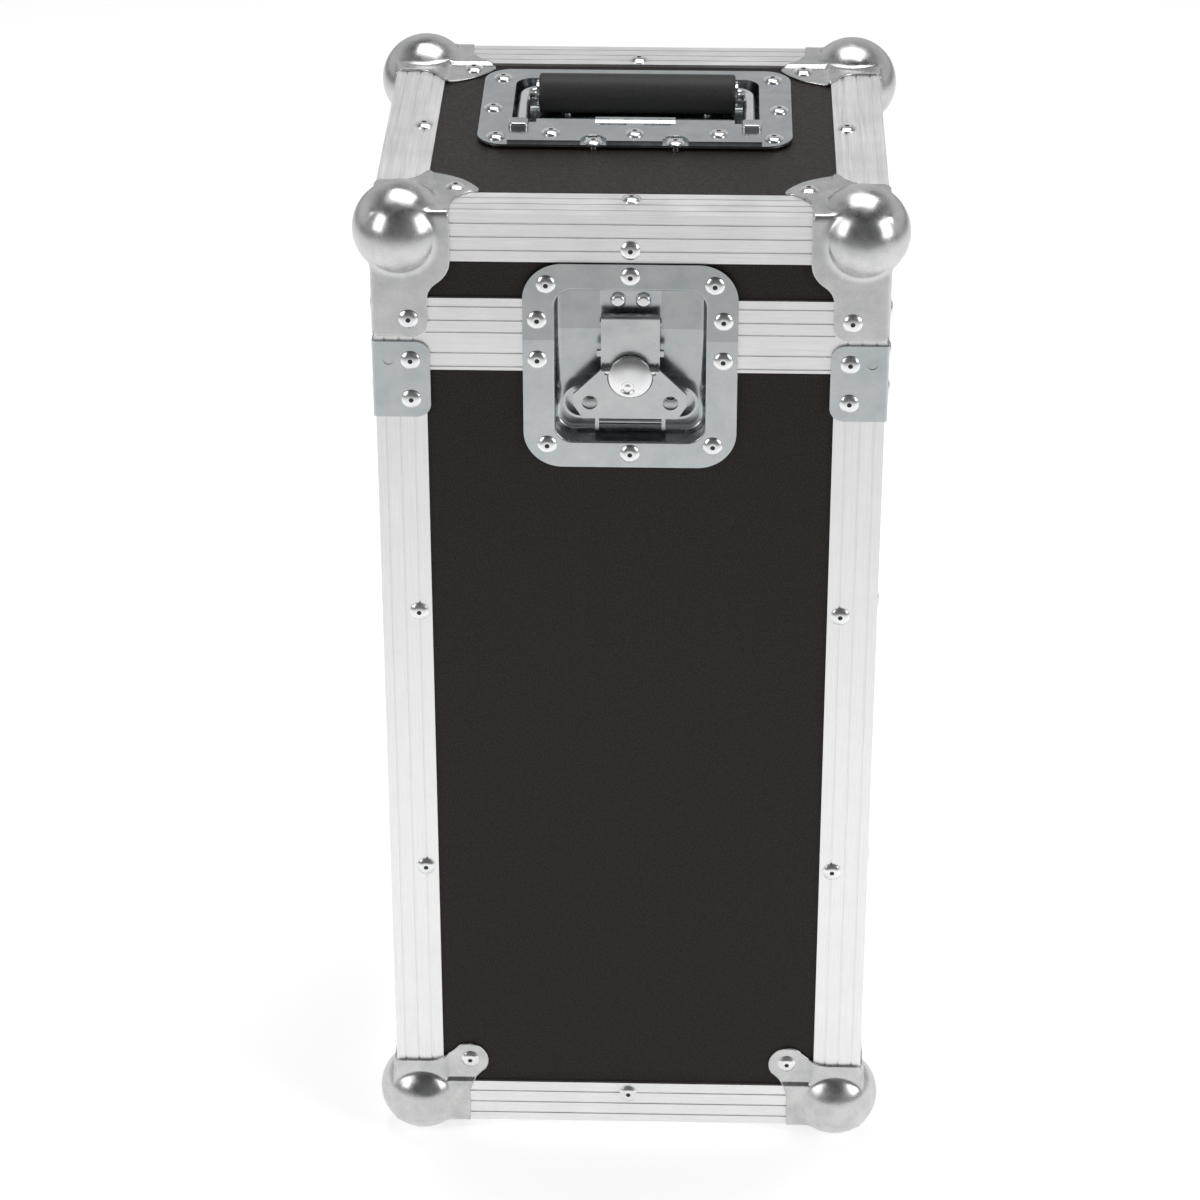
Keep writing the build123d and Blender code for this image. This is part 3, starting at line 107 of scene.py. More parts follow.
def piece_from_grids(name, grids, middles, body):
    """One mesh from several grids (rows, columns, 3), each facing away from its middle."""
    points, faces, start = [], [], 0
    for grid, middle in zip(grids, middles):
        rows, columns = grid.shape[:2]
        flat = grid.reshape(-1, 3)
        quads = grid_faces(rows, columns)
        across = flat[quads[:, 2]] - flat[quads[:, 0]]
        along = flat[quads[:, 3]] - flat[quads[:, 1]]
        outwards = flat[quads].mean(axis=1) - middle
        if (np.cross(across, along) * outwards).sum() < 0:
            quads = quads[:, ::-1]
        points.append(flat)
        faces.append(quads + start)
        start += len(flat)
    mesh = bpy.data.meshes.new(name)
    mesh.from_pydata(np.concatenate(points).tolist(), [], np.concatenate(faces).tolist())
    work = bmesh.new()
    work.from_mesh(mesh)
    bmesh.ops.remove_doubles(work, verts=work.verts, dist=weld_distance)
    work.to_mesh(mesh)
    work.free()
    mesh.polygons.foreach_set("use_smooth", np.ones(len(mesh.polygons), dtype=bool))
    piece = bpy.data.objects.new(name, mesh)
    bpy.context.scene.collection.objects.link(piece)
    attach(piece, body)
    return piece


# %% [markdown]
# ## Plain colours and metal finishes
#
# Every finish starts from one Principled shader. A small helper makes it with its constants on
# its own sockets, and a second one adds a noise that reads Object coordinates, so that the
# pattern stays on the piece when the lid or the latch turns.

# %% Helpers for materials


def new_finish(name, colour, roughness, metallic=0.0, **sockets):
    """A material with one Principled shader; the sockets are set by their names."""
    finish = bpy.data.materials.new(name)
    finish.use_nodes = True
    shader = finish.node_tree.nodes["Principled BSDF"]
    shader.inputs["Base Color"].default_value = (*colour, 1)
    shader.inputs["Roughness"].default_value = roughness
    shader.inputs["Metallic"].default_value = metallic
    for socket, value in sockets.items():
        shader.inputs[socket.replace("_", " ")].default_value = value
    return finish


def add(finish, kind, **values):
    """A node of a kind, with its number sockets set by name."""
    node = finish.node_tree.nodes.new(kind)
    for socket, value in values.items():
        node.inputs[socket.replace("_", " ")].default_value = value
    return node


def join(finish, source, target):
    """A link from one socket to another."""
    finish.node_tree.links.new(source, target)


def noise_over(finish, stretch, scale, detail=3.0, roughness=0.5):
    """Noise on Object coordinates, squeezed or drawn out along each axis by stretch."""
    place = add(finish, "ShaderNodeTexCoord")
    mapping = add(finish, "ShaderNodeMapping", Scale=stretch)
    noise = add(finish, "ShaderNodeTexNoise", Scale=scale, Detail=detail, Roughness=roughness)
    join(finish, place.outputs["Object"], mapping.inputs["Vector"])
    join(finish, mapping.outputs["Vector"], noise.inputs["Vector"])
    return noise.outputs["Fac"]


def spread(finish, source, low, high, to_low, to_high):
    """Maps a range of a pattern's values to another range."""
    ends = {"From Min": low, "From Max": high, "To Min": to_low, "To Max": to_high}
    ranged = add(finish, "ShaderNodeMapRange")
    for socket, value in ends.items():
        ranged.inputs[socket].default_value = value
    join(finish, source, ranged.inputs["Value"])
    return ranged.outputs["Result"]


def colours_over(finish, source, stops):
    """A colour ramp over a pattern; stops are (place, colour) pairs."""
    ramp = add(finish, "ShaderNodeValToRGB")
    elements = ramp.color_ramp.elements
    for index, (place, colour) in enumerate(stops):
        element = elements[index] if index < 2 else elements.new(place)
        element.position = place
        element.color = (*colour, 1)
    join(finish, source, ramp.inputs["Fac"])
    return ramp.outputs["Color"]


def shader_of(finish):
    """The Principled shader of a finish."""
    return finish.node_tree.nodes["Principled BSDF"]


def bump_from(finish, source, distance, strength=1.0, under=None):
    """A bump of a depth in metres, on top of another bump where one is given."""
    bump = add(finish, "ShaderNodeBump", Strength=strength, Distance=distance)
    join(finish, source, bump.inputs["Height"])
    if under is not None:
        join(finish, under, bump.inputs["Normal"])
    join(finish, bump.outputs["Normal"], shader_of(finish).inputs["Normal"])
    return bump.outputs["Normal"]


# %% [markdown]
# ## Drawn aluminium
#
# The edge profiles are extruded and satin anodised, so they carry faint lines along their
# length. Noise drawn out fifty times along the profile gives them. A profile along x needs its
# lines along x, so the finish is made three times, once for each direction. Wider, softer noise
# gives the cloudy handling marks.
#
# A noise stays near its middle, so only its part between 0.3 and 0.7 is spread over a range of
# roughness. The other finishes do the same.

# %% Make the three aluminium finishes
noise_part = (0.3, 0.7)
whole = (1, 1, 1)
aluminium_colour = (0.86, 0.86, 0.86)
aluminium_tones = [(0.32, (0.78, 0.775, 0.78)), (0.66, (0.93, 0.925, 0.92))]
aluminium_roughness = (0.36, 0.56)
line_stretch = 0.02
line_scale = 1500.0
line_depth = 0.00004
handling_scale = 38.0
handling_share = 0.45


def drawn_aluminium(name, lengthwise):
    """Satin aluminium with its drawing lines along one axis."""
    stretch = tuple(line_stretch if axis == lengthwise else 1.0 for axis in range(3))
    finish = new_finish(name, aluminium_colour, 0.46, metallic=1.0)
    lines = noise_over(finish, stretch, line_scale, detail=2.0)
    clouds = noise_over(finish, whole, handling_scale, detail=5.0, roughness=0.6)
    mixed = add(finish, "ShaderNodeMix")
    mixed.inputs["Factor"].default_value = handling_share
    join(finish, lines, mixed.inputs["A"])
    join(finish, clouds, mixed.inputs["B"])
    joined = mixed.outputs["Result"]
    rough = spread(finish, joined, *noise_part, *aluminium_roughness)
    join(finish, rough, shader_of(finish).inputs["Roughness"])
    tints = colours_over(finish, joined, aluminium_tones)
    join(finish, tints, shader_of(finish).inputs["Base Color"])
    bump_from(finish, lines, line_depth, strength=0.5)
    return finish


aluminium_along = [drawn_aluminium(f"drawn_aluminium_{axis}", i) for i, axis in enumerate("xyz")]
print("aluminium finishes:", [finish.name for finish in aluminium_along])

# %% [markdown]
# ## Zinc plate
#
# The corners, dishes and the braces are pressed steel under bright zinc. The plating has a cool
# blue cast and dull, cloudy patches. One noise drives the roughness, the tint and a shallow
# unevenness together, and a much finer one gives the grain of the plating.

# %% Make the zinc finishes
cloud_scale = 70.0
cloud_depth = 0.0002
plating_grain_scale = 900.0
plating_grain_depth = 0.00002


def zinc_plate(name, light, dark, smooth, dull):
    """Zinc plating with cloudy patches between two tints and two roughnesses."""
    finish = new_finish(name, light, smooth, metallic=1.0)
    clouds = noise_over(finish, whole, cloud_scale, detail=6.0, roughness=0.62)
    grains = noise_over(finish, whole, plating_grain_scale, detail=3.0)
    tints = colours_over(finish, clouds, [(0.30, dark), (0.68, light)])
    join(finish, tints, shader_of(finish).inputs["Base Color"])
    rough = spread(finish, clouds, *noise_part, smooth, dull)
    join(finish, rough, shader_of(finish).inputs["Roughness"])
    fine = bump_from(finish, grains, plating_grain_depth, strength=0.35)
    bump_from(finish, clouds, cloud_depth, strength=0.2, under=fine)
    return finish


zinc_dish = zinc_plate("zinc_dish", (0.55, 0.572, 0.578), (0.42, 0.455, 0.468), 0.18, 0.32)
# The upper dish is the same zinc with darker tints: painted shade for the darker reflection it
# shows
upper_dish_painted_shade_tints = ((0.46, 0.468, 0.463), (0.34, 0.37, 0.38))
zinc_upper_dish_painted_shade = zinc_plate("zinc_upper_dish_painted_shade", *upper_dish_painted_shade_tints, 0.18, 0.30)
zinc_corner = zinc_plate("zinc_corner", (0.66, 0.66, 0.65), (0.46, 0.47, 0.47), 0.17, 0.38)
zinc_cradle = zinc_plate("zinc_cradle", (0.60, 0.61, 0.61), (0.46, 0.48, 0.49), 0.20, 0.34)
bright_steel = zinc_plate("bright_steel", (0.82, 0.82, 0.82), (0.70, 0.71, 0.72), 0.12, 0.26)
print("plated finishes made")

# %% [markdown]
# ## Laminate, rubber and foam
#
# The panels are plywood under a thin dark plastic skin, pressed with a fine leather grain. Its
# cells come from a Voronoi pattern of about a millimetre, broken up by noise, and a finer noise
# mottles the colour with reddish specks. The grip is a dull moulded rubber, and the lining is
# open foam, whose pores are small Voronoi cells turned into deep pits.

# %% Make the dark finishes


def cells_over(finish, scale):
    """Voronoi cells on Object coordinates: the distance to the nearest point."""
    place = add(finish, "ShaderNodeTexCoord")
    cells = add(finish, "ShaderNodeTexVoronoi", Scale=scale)
    join(finish, place.outputs["Object"], cells.inputs["Vector"])
    return cells.outputs["Distance"]


laminate = new_finish("grained_laminate", (0.03, 0.024, 0.022), 0.46, Specular_IOR_Level=0.22)
grain_tones = [
    (0.38, (0.011, 0.009, 0.008)),
    (0.56, (0.021, 0.016, 0.014)),
    (0.72, (0.046, 0.029, 0.024)),
]
cell_depth, grain_depth = 0.00016, 0.00018
grain_cells = cells_over(laminate, 950.0)
grain_noise = noise_over(laminate, whole, 620.0, detail=4.0, roughness=0.6)
mottle = noise_over(laminate, whole, 1400.0, detail=2.0)
laminate_tints = colours_over(laminate, mottle, grain_tones)
join(laminate, laminate_tints, shader_of(laminate).inputs["Base Color"])
laminate_rough = spread(laminate, grain_noise, *noise_part, 0.36, 0.56)
join(laminate, laminate_rough, shader_of(laminate).inputs["Roughness"])
cell_bump = bump_from(laminate, grain_cells, cell_depth, strength=0.55)
bump_from(laminate, grain_noise, grain_depth, strength=0.5, under=cell_bump)

grip_rubber = new_finish("grip_rubber", (0.028, 0.028, 0.029), 0.56, Specular_IOR_Level=0.4)
rubber_tones = [(0.3, (0.020, 0.020, 0.021)), (0.7, (0.038, 0.038, 0.038))]
rubber_depth = 0.00012
rubber_noise = noise_over(grip_rubber, whole, 1100.0, detail=3.0)
rubber_rough = spread(grip_rubber, rubber_noise, *noise_part, 0.48, 0.64)
join(grip_rubber, rubber_rough, shader_of(grip_rubber).inputs["Roughness"])
rubber_tints = colours_over(grip_rubber, rubber_noise, rubber_tones)
join(grip_rubber, rubber_tints, shader_of(grip_rubber).inputs["Base Color"])
bump_from(grip_rubber, rubber_noise, rubber_depth, strength=0.5)

open_foam = new_finish("open_foam", (0.05, 0.05, 0.053), 0.95, Specular_IOR_Level=0.2)
foam_tones = [(0.15, (0.075, 0.075, 0.08)), (0.7, (0.02, 0.02, 0.022))]
pore_depth, unevenness = 0.0009, 0.0008
pores = cells_over(open_foam, 620.0)
pore_noise = noise_over(open_foam, whole, 260.0, detail=5.0, roughness=0.7)
foam_tints = colours_over(open_foam, pores, foam_tones)
join(open_foam, foam_tints, shader_of(open_foam).inputs["Base Color"])
pore_bump = bump_from(open_foam, pores, pore_depth, strength=0.8)
bump_from(open_foam, pore_noise, unevenness, strength=0.5, under=pore_bump)
print("dark finishes made")

# %% [markdown]
# ## Pressed ball corners
#
# Each corner is one pressed sheet: a ball that stands proud of the case, flowing into three flat
# wings that lie on the edge profiles and step down on to the laminate. A sphere joined to three
# plates would leave a crease, so the whole sheet is one function instead. A ray goes out from
# the ball's centre to a point of a wing; the sheet lies where the ray meets the ball or the wing,
# whichever is further out, and a smooth maximum blends the two.
#
# The outline of a wing is a loop of four curves, and a Coons patch fills it: the two ways of
# joining opposite curves by straight lines are added, and the plain patch between the four end
# points is taken away.

# %% Sizes of the corners, in millimetres
case_side = 124.0
case_end = 110.0
case_bottom = 10.0
case_top = 541.0
ball_radius = 23.0
ball_inset = 13.0
sheet_thickness = 1.2
wing_plane = ball_inset + sheet_thickness
blend_width = 2.4
edge_power = 12.0
laminate_drop = 1.5
laminate_from = (25.5, 27.6)
step_blend = 3.0
no_step_end = 1000.0
base_reach = 39.0
lid_reach = 37.5
cheek_length = 64.2
across_count = 56
leg_count = 84


def smooth_step(x, start, end):
    """Nought before start, one after end, and a cubic between them."""
    t = np.clip((x - start) / (end - start), 0, 1)
    return t * t * (3 - 2 * t)


def smooth_larger(a, b, width):
    """The larger of two values, rounded off where they differ by less than width."""
    nearness = np.maximum(width - np.abs(a - b), 0) / width
    return np.maximum(a, b) + nearness**2 * width / 4


# %% Curves for the outlines


def arc(centre, radius, start, end, count=24):
    """Points on a circle between two angles in degrees."""
    angle = np.radians(np.linspace(start, end, count))
    return np.array(centre) + radius * np.stack([np.cos(angle), np.sin(angle)], axis=1)


def bend(start, pull, end, count=24):
    """A curve of second degree from start to end, drawn towards the pull point."""
    t = np.linspace(0, 1, count)[:, None]
    return (1 - t) ** 2 * np.array(start) + 2 * t * (1 - t) * np.array(pull) + t**2 * np.array(end)


def even_points(parts, count):
    """Points at equal distances along joined parts."""
    path = np.concatenate([np.atleast_2d(np.array(part, dtype=float)) for part in parts])
    steps = np.r_[0, np.cumsum(np.hypot(*np.diff(path, axis=0).T))]
    wanted = np.linspace(0, steps[-1], count)
    return np.stack([np.interp(wanted, steps, along) for along in path.T], axis=1)


def coons(bottom, top, left, right):
    """The patch inside four curves; bottom and top run along u, left and right along v."""
    s = np.linspace(0, 1, len(bottom))[None, :, None]
    t = np.linspace(0, 1, len(left))[:, None, None]
    between = (1 - t) * bottom[None] + t * top[None] + (1 - s) * left[:, None] + s * right[:, None]
    low_ends = (1 - s) * (1 - t) * bottom[0] + s * (1 - t) * bottom[-1]
    high_ends = (1 - s) * t * top[0] + s * t * top[-1]
    return between - low_ends - high_ends


# %% Outlines of the wings
rim = -sheet_thickness


def straight(length, count, along_u):
    """The outer edge of a wing, from the corner of the case to its reach."""
    run = np.linspace(rim, length, count)
    still = np.full(count, rim)
    return np.stack([run, still] if along_u else [still, run], axis=1)


def lobed_wing():
    """A square plate whose inner corner swells into a round lobe for one rivet."""
    place, radius, reach = 38.5, 10.5, base_reach
    neck = bend((reach, 15.0), (reach - 0.6, 25.5), (47.4, 32.9), 16)
    lobe = arc((place, place), radius, -32, 45)
    right = even_points([[(reach, rim), (reach, 15.0), *neck], lobe], across_count)
    top = right[:, ::-1]
    bottom = straight(reach, across_count, True)
    return coons(bottom, top, straight(reach, across_count, False), right)


def leaf_wing():
    """The wing on the lid's top: a leaf whose tips lie along both edge profiles."""
    middle = (41.5, 42.3)
    right = even_points(
        [
            [(lid_reach, rim), (lid_reach, 12.0)],
            bend((lid_reach, 12.0), (38.5, 19.0), (47.5, 25.6)),
            bend((47.5, 25.6), (51.6, 28.8), (49.6, 31.8)),
            bend((49.6, 31.8), (46.4, 37.8), middle),
        ],
        across_count,
    )
    top = even_points(
        [
            [(rim, lid_reach), (12.0, lid_reach)],
            bend((12.0, lid_reach), (19.0, 38.5), (22.8, 46.5)),
            bend((22.8, 46.5), (25.0, 51.4), (28.8, 49.6)),
            bend((28.8, 49.6), (35.8, 46.8), middle),
        ],
        across_count,
    )
    bottom = straight(lid_reach, across_count, True)
    return coons(bottom, top, straight(lid_reach, across_count, False), right)


def cheek_wing():
    """The wing on the lid's sides: a broad cheek that narrows to a leg down the edge profile."""
    leg, leg_round = 26.2, 7.0
    centre = (leg - leg_round, cheek_length - leg_round)
    right = even_points(
        [
            [(lid_reach, rim), (lid_reach, 24.0)],
            bend((lid_reach, 24.0), (lid_reach, 31.5), (31.0, 36.2)),
            bend((31.0, 36.2), (leg, 39.6), (leg, 45.0)),
            arc(centre, leg_round, 0, 45),
        ],
        leg_count,
    )
    leg_end = [(rim, cheek_length), (6.0, cheek_length)]
    top = even_points([leg_end, arc(centre, leg_round, 90, 45)], across_count)
    bottom = straight(lid_reach, across_count, True)
    return coons(bottom, top, straight(cheek_length, leg_count, False), right)


print("lobed wing grid:", lobed_wing().shape, "cheek grid:", cheek_wing().shape)

# %% Lift a wing on to the ball


def pressed_wing(outline, step_end):
    """The sheet over one wing, as (u, v, depth) distances inwards from the outer faces.

    The ray from the ball's centre to the wing has the parts a and b in the wing and one out of
    it. Its length to the rounded plates is the plane's distance over a high power mean of the
    outward parts, which rounds the folds. Past the profile the sheet sinks on to the laminate.
    """
    u, v = outline[..., 0], outline[..., 1]
    a = (u - ball_inset) / wing_plane
    b = (v - ball_inset) / wing_plane
    length = np.sqrt(1 + a * a + b * b)
    powers = np.maximum(-a, 0) ** edge_power + np.maximum(-b, 0) ** edge_power + 1
    plates = wing_plane * length / powers ** (1 / edge_power)
    lift = smooth_larger(np.full_like(a, ball_radius), plates, blend_width) / length
    past_profile = smooth_step(np.minimum(u, v), *laminate_from)
    sunk = past_profile * (1 - smooth_step(v, step_end, step_end + step_blend))
    depth = ball_inset - lift + laminate_drop * sunk
    return np.stack([ball_inset + a * lift, ball_inset + b * lift, depth], axis=-1)


def place_corner(name, side, end, is_lid):
    """Three wings set on the case: side is -1 or 1 along x, end along y.

    The lid's cheeks stay on the profiles, so their step ends before the wing begins.
    """
    upright = cheek_wing() if is_lid else lobed_wing()
    level = pressed_wing(leaf_wing() if is_lid else lobed_wing(), no_step_end)
    cheek = pressed_wing(upright, rim - step_blend if is_lid else no_step_end)
    grids = []
    for wing, order in ((level, (0, 1, 2)), (cheek, (0, 2, 1)), (cheek, (1, 2, 0))):
        inwards = np.empty_like(wing)
        for source, target in enumerate(order):
            inwards[..., target] = wing[..., source]
        x = side * (case_side - inwards[..., 0])
        y = end * (case_end - inwards[..., 1])
        z = case_top - inwards[..., 2] if is_lid else case_bottom + inwards[..., 2]
        grids.append(np.stack([x, y, z], axis=-1) / 1000)
    z_ball = case_top - ball_inset if is_lid else case_bottom + ball_inset
    ball = np.array([side * (case_side - ball_inset), end * (case_end - ball_inset), z_ball]) / 1000
    corner = piece_from_grids(name, grids, [ball] * 3, "lid" if is_lid else "base")
    wall = corner.modifiers.new("wall", "SOLIDIFY")
    wall.thickness = sheet_thickness / 1000
    wall.offset = -1
    corner.data.materials.append(zinc_corner)
    return corner


# %% Make the eight corners
for is_lid in (False, True):
    for end, end_name in ((-1, "front"), (1, "rear")):
        for side, side_name in ((-1, "left"), (1, "right")):
            part = "lid" if is_lid else "base"
            corner = place_corner(f"{part}_ball_corner_{end_name}_{side_name}", side, end, is_lid)
            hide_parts(f"{part}_corner_{end_name}_{side_name}")
            print(corner.name, len(corner.data.polygons), "faces")

# %% [markdown]
# ## Bores of the blind rivets
#
# A set blind rivet keeps a bore where its pin broke off, and shade makes it dark. The solids have
# the bore, but its floor renders as bright as the head, so a small dark plug of painted shade goes
# into each one. The rivets are found from the frame, not typed in: points that share a face get
# the same, lowest number until nothing changes, and each number that is left is one rivet. With
# its shank a rivet is longer than it is wide, so its longest side is its axis.

# %% Find the rivets of a node
bore_radius = 0.00118
bore_depth = 0.00008
bore_rings, bore_turns = 3, 16
case_middle_height = 0.27
grid_steps_per_metre = 1e5


def rivet_boxes(node):
    """The low and high corners of every separate solid in a node, as two arrays."""
    mesh = nodes[node].data
    points = np.empty(len(mesh.vertices) * 3)
    mesh.vertices.foreach_get("co", points)
    points = points.reshape(-1, 3)
    corners = np.empty(len(mesh.loops), dtype=int)
    mesh.loops.foreach_get("vertex_index", corners)
    steps = np.round(points * grid_steps_per_metre).astype(int)
    _, shared = np.unique(steps, axis=0, return_inverse=True)
    triangles = shared.ravel()[corners].reshape(-1, 3)
    label = np.arange(triangles.max() + 1)
    while True:
        lowest = label[triangles].min(axis=1)
        before = label.copy()
        for side in range(3):
            np.minimum.at(label, triangles[:, side], lowest)
        label = label[label]
        if (label == before).all():
            break
    owner = np.unique(label[shared.ravel()], return_inverse=True)[1].ravel()
    low = np.full((owner.max() + 1, 3), np.inf)
    high = -low
    np.minimum.at(low, owner, points)
    np.maximum.at(high, owner, points)
    return low, high


def round_plate(centre, out, radius, rings, turns, rise=None):
    """A closed round surface about a centre that faces along out; rise gives its height."""
    across = np.cross(out, (0, 0, 1) if abs(out[2]) < 0.5 else (0, 1, 0))
    up = np.cross(out, across)
    r = radius * np.linspace(0, 1, rings)[:, None]
    angle = np.linspace(0, 2 * np.pi, turns + 1)[None, :]
    x, y = r * np.cos(angle), r * np.sin(angle)
    height = np.zeros_like(x) if rise is None else rise(x, y)
    return np.array(centre) + x[..., None] * across + y[..., None] * up + height[..., None] * out


# %% Plug the bores with painted shade
# The plug's near-black colour is painted shade for the hole; its noise only varies that shade
bore_painted_shade = new_finish("bore_painted_shade", (0.012, 0.012, 0.013), 0.6)
painted_bore_shade_tones = [(0.3, (0.006, 0.006, 0.007)), (0.7, (0.03, 0.026, 0.024))]
painted_bore_shade_tints = colours_over(bore_painted_shade, noise_over(bore_painted_shade, whole, 2500.0), painted_bore_shade_tones)
join(bore_painted_shade, painted_bore_shade_tints, shader_of(bore_painted_shade).inputs["Base Color"])
rivet_nodes = {
    "base": ("base_rivets", "latch_lower_rivets"),
    "lid": ("lid_rivets", "latch_upper_rivets", "handle_rivets"),
}
for body, names in rivet_nodes.items():
    grids, middles = [], []
    for low, high in [pair for name in names for pair in zip(*rivet_boxes(name))]:
        centre = (low + high) / 2
        axis = int(np.argmax(high - low))
        out = np.zeros(3)
        out[axis] = 1 if centre[axis] > (case_middle_height if axis == 2 else 0) else -1
        top = centre + out * ((high - low)[axis] / 2 - bore_depth)
        grids.append(round_plate(top, out, bore_radius, bore_rings, bore_turns))
        middles.append(top - out)
    bores = piece_from_grids(f"{body}_rivet_bore_painted_shade", grids, middles, body)
    bores.data.materials.append(bore_painted_shade)
    print(bores.name, len(grids), "bores")

# %% [markdown]
# ## The latch's turning disc
#
# The disc that is turned to draw the hook is a domed cap with a thumb dimple below its middle.
# The solid's face is flat round its own plain dimple, so a dome is laid over it. Its height falls
# off with a power of the radius, and the dimple is taken away with a smooth step, which leaves a
# soft rim.

# %% Dome the disc
disc_radius = 0.0105
latch_axis_height = 0.455
disc_centre = (0.0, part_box("latch_hub")[0][1], latch_axis_height)
dome_rise = 0.0014
dome_power = 3.2
dimple_at = (-0.0012, -0.0050)
dimple_radius = 0.0037
dimple_depth = 0.0011
dimple_slope = (0.62, 1.08)
pip_rise = 0.0003
pip_slope = (0.1, 0.5)
pip_limit = 0.9
cap_clearance = 0.00002
cap_rings, cap_turns = 48, 96


def dome(x, y):
    """Rise times one less a power of the radius, less the dimple and plus a pip in its middle."""
    r = np.hypot(x, y) / disc_radius
    from_dimple = np.hypot(x - dimple_x, y - dimple_at[1]) / dimple_radius
    crown = dome_rise * (1 - r**dome_power)
    hollow = dimple_depth * (1 - smooth_step(from_dimple, *dimple_slope))
    pip = pip_rise * (1 - smooth_step(from_dimple, *pip_slope))
    return cap_clearance + crown - np.minimum(hollow, crown) + pip * (r < pip_limit)


facing = np.array((0, -1, 0))
disc_across = np.cross(facing, (0, 0, 1))
dimple_x = dimple_at[0] * disc_across[0]
dome_up = np.cross(facing, disc_across)[2]
dome_grid = round_plate(
    disc_centre, facing, disc_radius, cap_rings, cap_turns, lambda x, y: dome(x, y * dome_up)
)
cap_middle = np.array(disc_centre) - facing
cap = piece_from_grids("latch_disc_cap", [dome_grid], [cap_middle], "latch_disc")
cap.data.materials.append(bright_steel)
print("disc:", disc_centre, "radius", disc_radius)

# %% [markdown]
# ## Foam lining
#
# The lining is sheet foam cut into pads and glued to the panels. A block with sharp edges would
# look like wood, so each pad is a rounded block: a point of a plain box is drawn to the nearest
# point of a smaller box, and then pushed out again by the rounding. The faces bow out a little
# in the middle. Round the latch and the handle the lining is cut into strips, as a maker does.

# %% Make a pad
pad_rounding = 0.003
pad_crown = 0.0012
crown_power = 6
pad_grid = 34


def box_side(axis, sign):
    """One face of a cube from -1 to 1, its points crowded towards the edges."""
    run = np.sin(np.linspace(-np.pi / 2, np.pi / 2, pad_grid))
    first, second = np.meshgrid(run, run, indexing="ij")
    face = np.empty((pad_grid, pad_grid, 3))
    face[..., axis] = sign
    face[..., (axis + 1) % 3] = first
    face[..., (axis + 2) % 3] = second
    return face


def pad_grids(low, high):
    """Six grids of a rounded, crowned pad between two corners in metres."""
    low, high = np.array(low), np.array(high)
    half = (high - low) / 2
    thin = int(np.argmin(half))
    grids = []
    for axis in range(3):
        for sign in (-1, 1):
            cube = box_side(axis, sign)
            core = np.clip(cube * half, pad_rounding - half, half - pad_rounding)
            away = cube * half - core
            away /= np.maximum(np.linalg.norm(away, axis=-1, keepdims=True), 1e-9)
            pad = core + away * pad_rounding
            others = [i for i in range(3) if i != thin]
            edge = np.max(np.abs(pad[..., others] / half[others]) ** crown_power, axis=-1)
            pad[..., thin] *= 1 - edge * pad_crown / half[thin]
            grids.append(pad + (low + high) / 2)
    return grids


def foam_piece(node, body, boxes):
    """Several pads as one piece that stands for a foam node; boxes are in millimetres."""
    grids, middles = [], []
    for low, high in boxes:
        corners = np.array([low, high]) / 1000
        grids += pad_grids(*corners)
        middles += [corners.mean(axis=0)] * 6
    piece = piece_from_grids(f"{node}_pads", grids, middles, body)
    piece.data.materials.append(open_foam)
    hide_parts(node)
    print(piece.name, len(boxes), "pads,", len(piece.data.polygons), "faces")


# %% Lay the lining
gap = 0.4
out_x, out_y = 114.0, 100.0
in_x, in_y = 104.0, 90.0
floor_low, floor_high = 20.0, 30.0
split_height = 475.5
latch_half, latch_low, latch_high = 38.2, 419.2, 503.8
top_low, top_high = 521.0, 531.0
hole_x, hole_front, hole_rear = 63.8, -5.2, 63.8


def ring_of_walls(low, high, front):
    """Side and rear pads of full height, and front pads round the latch."""
    walls = [
        ((-out_x, -out_y, low), (-in_x - gap, out_y, high)),
        ((in_x + gap, -out_y, low), (out_x, out_y, high)),
        ((-in_x, in_y + gap, low), (in_x, out_y, high)),
    ]
    return walls + front


base_front = [
    ((-in_x, -out_y, floor_low), (in_x, -in_y - gap, latch_low)),
    ((-in_x, -out_y, latch_low), (-latch_half, -in_y - gap, split_height - gap)),
    ((latch_half, -out_y, latch_low), (in_x, -in_y - gap, split_height - gap)),
]
lid_front = [
    ((-in_x, -out_y, latch_high), (in_x, -in_y - gap, top_low)),
    ((-in_x, -out_y, split_height + gap), (-latch_half, -in_y - gap, latch_high)),
    ((latch_half, -out_y, split_height + gap), (in_x, -in_y - gap, latch_high)),
]
base_floor = [((-in_x, -in_y, floor_low), (in_x, in_y, floor_high))]
base_walls = ring_of_walls(floor_low, split_height - gap, base_front)
lid_walls = ring_of_walls(split_height + gap, top_low, lid_front)
foam_piece("base_floor_foam", "base", base_floor)
foam_piece("base_wall_foam", "base", base_walls)
foam_piece("lid_wall_foam", "lid", lid_walls)
lid_top_boxes = [
    ((-out_x, -out_y, top_low), (out_x, hole_front, top_high)),
    ((-out_x, hole_rear, top_low), (out_x, out_y, top_high)),
    ((-out_x, hole_front, top_low), (-hole_x, hole_rear, top_high)),
    ((hole_x, hole_front, top_low), (out_x, hole_rear, top_high)),
]
foam_piece("lid_top_foam", "lid", lid_top_boxes)

# %% [markdown]
# ## Finishes on the frame's own parts
#
# The other solids have the right shape already, so they only get a finish. A profile takes the
# aluminium whose lines run along its length, and an upright post takes the one along z.

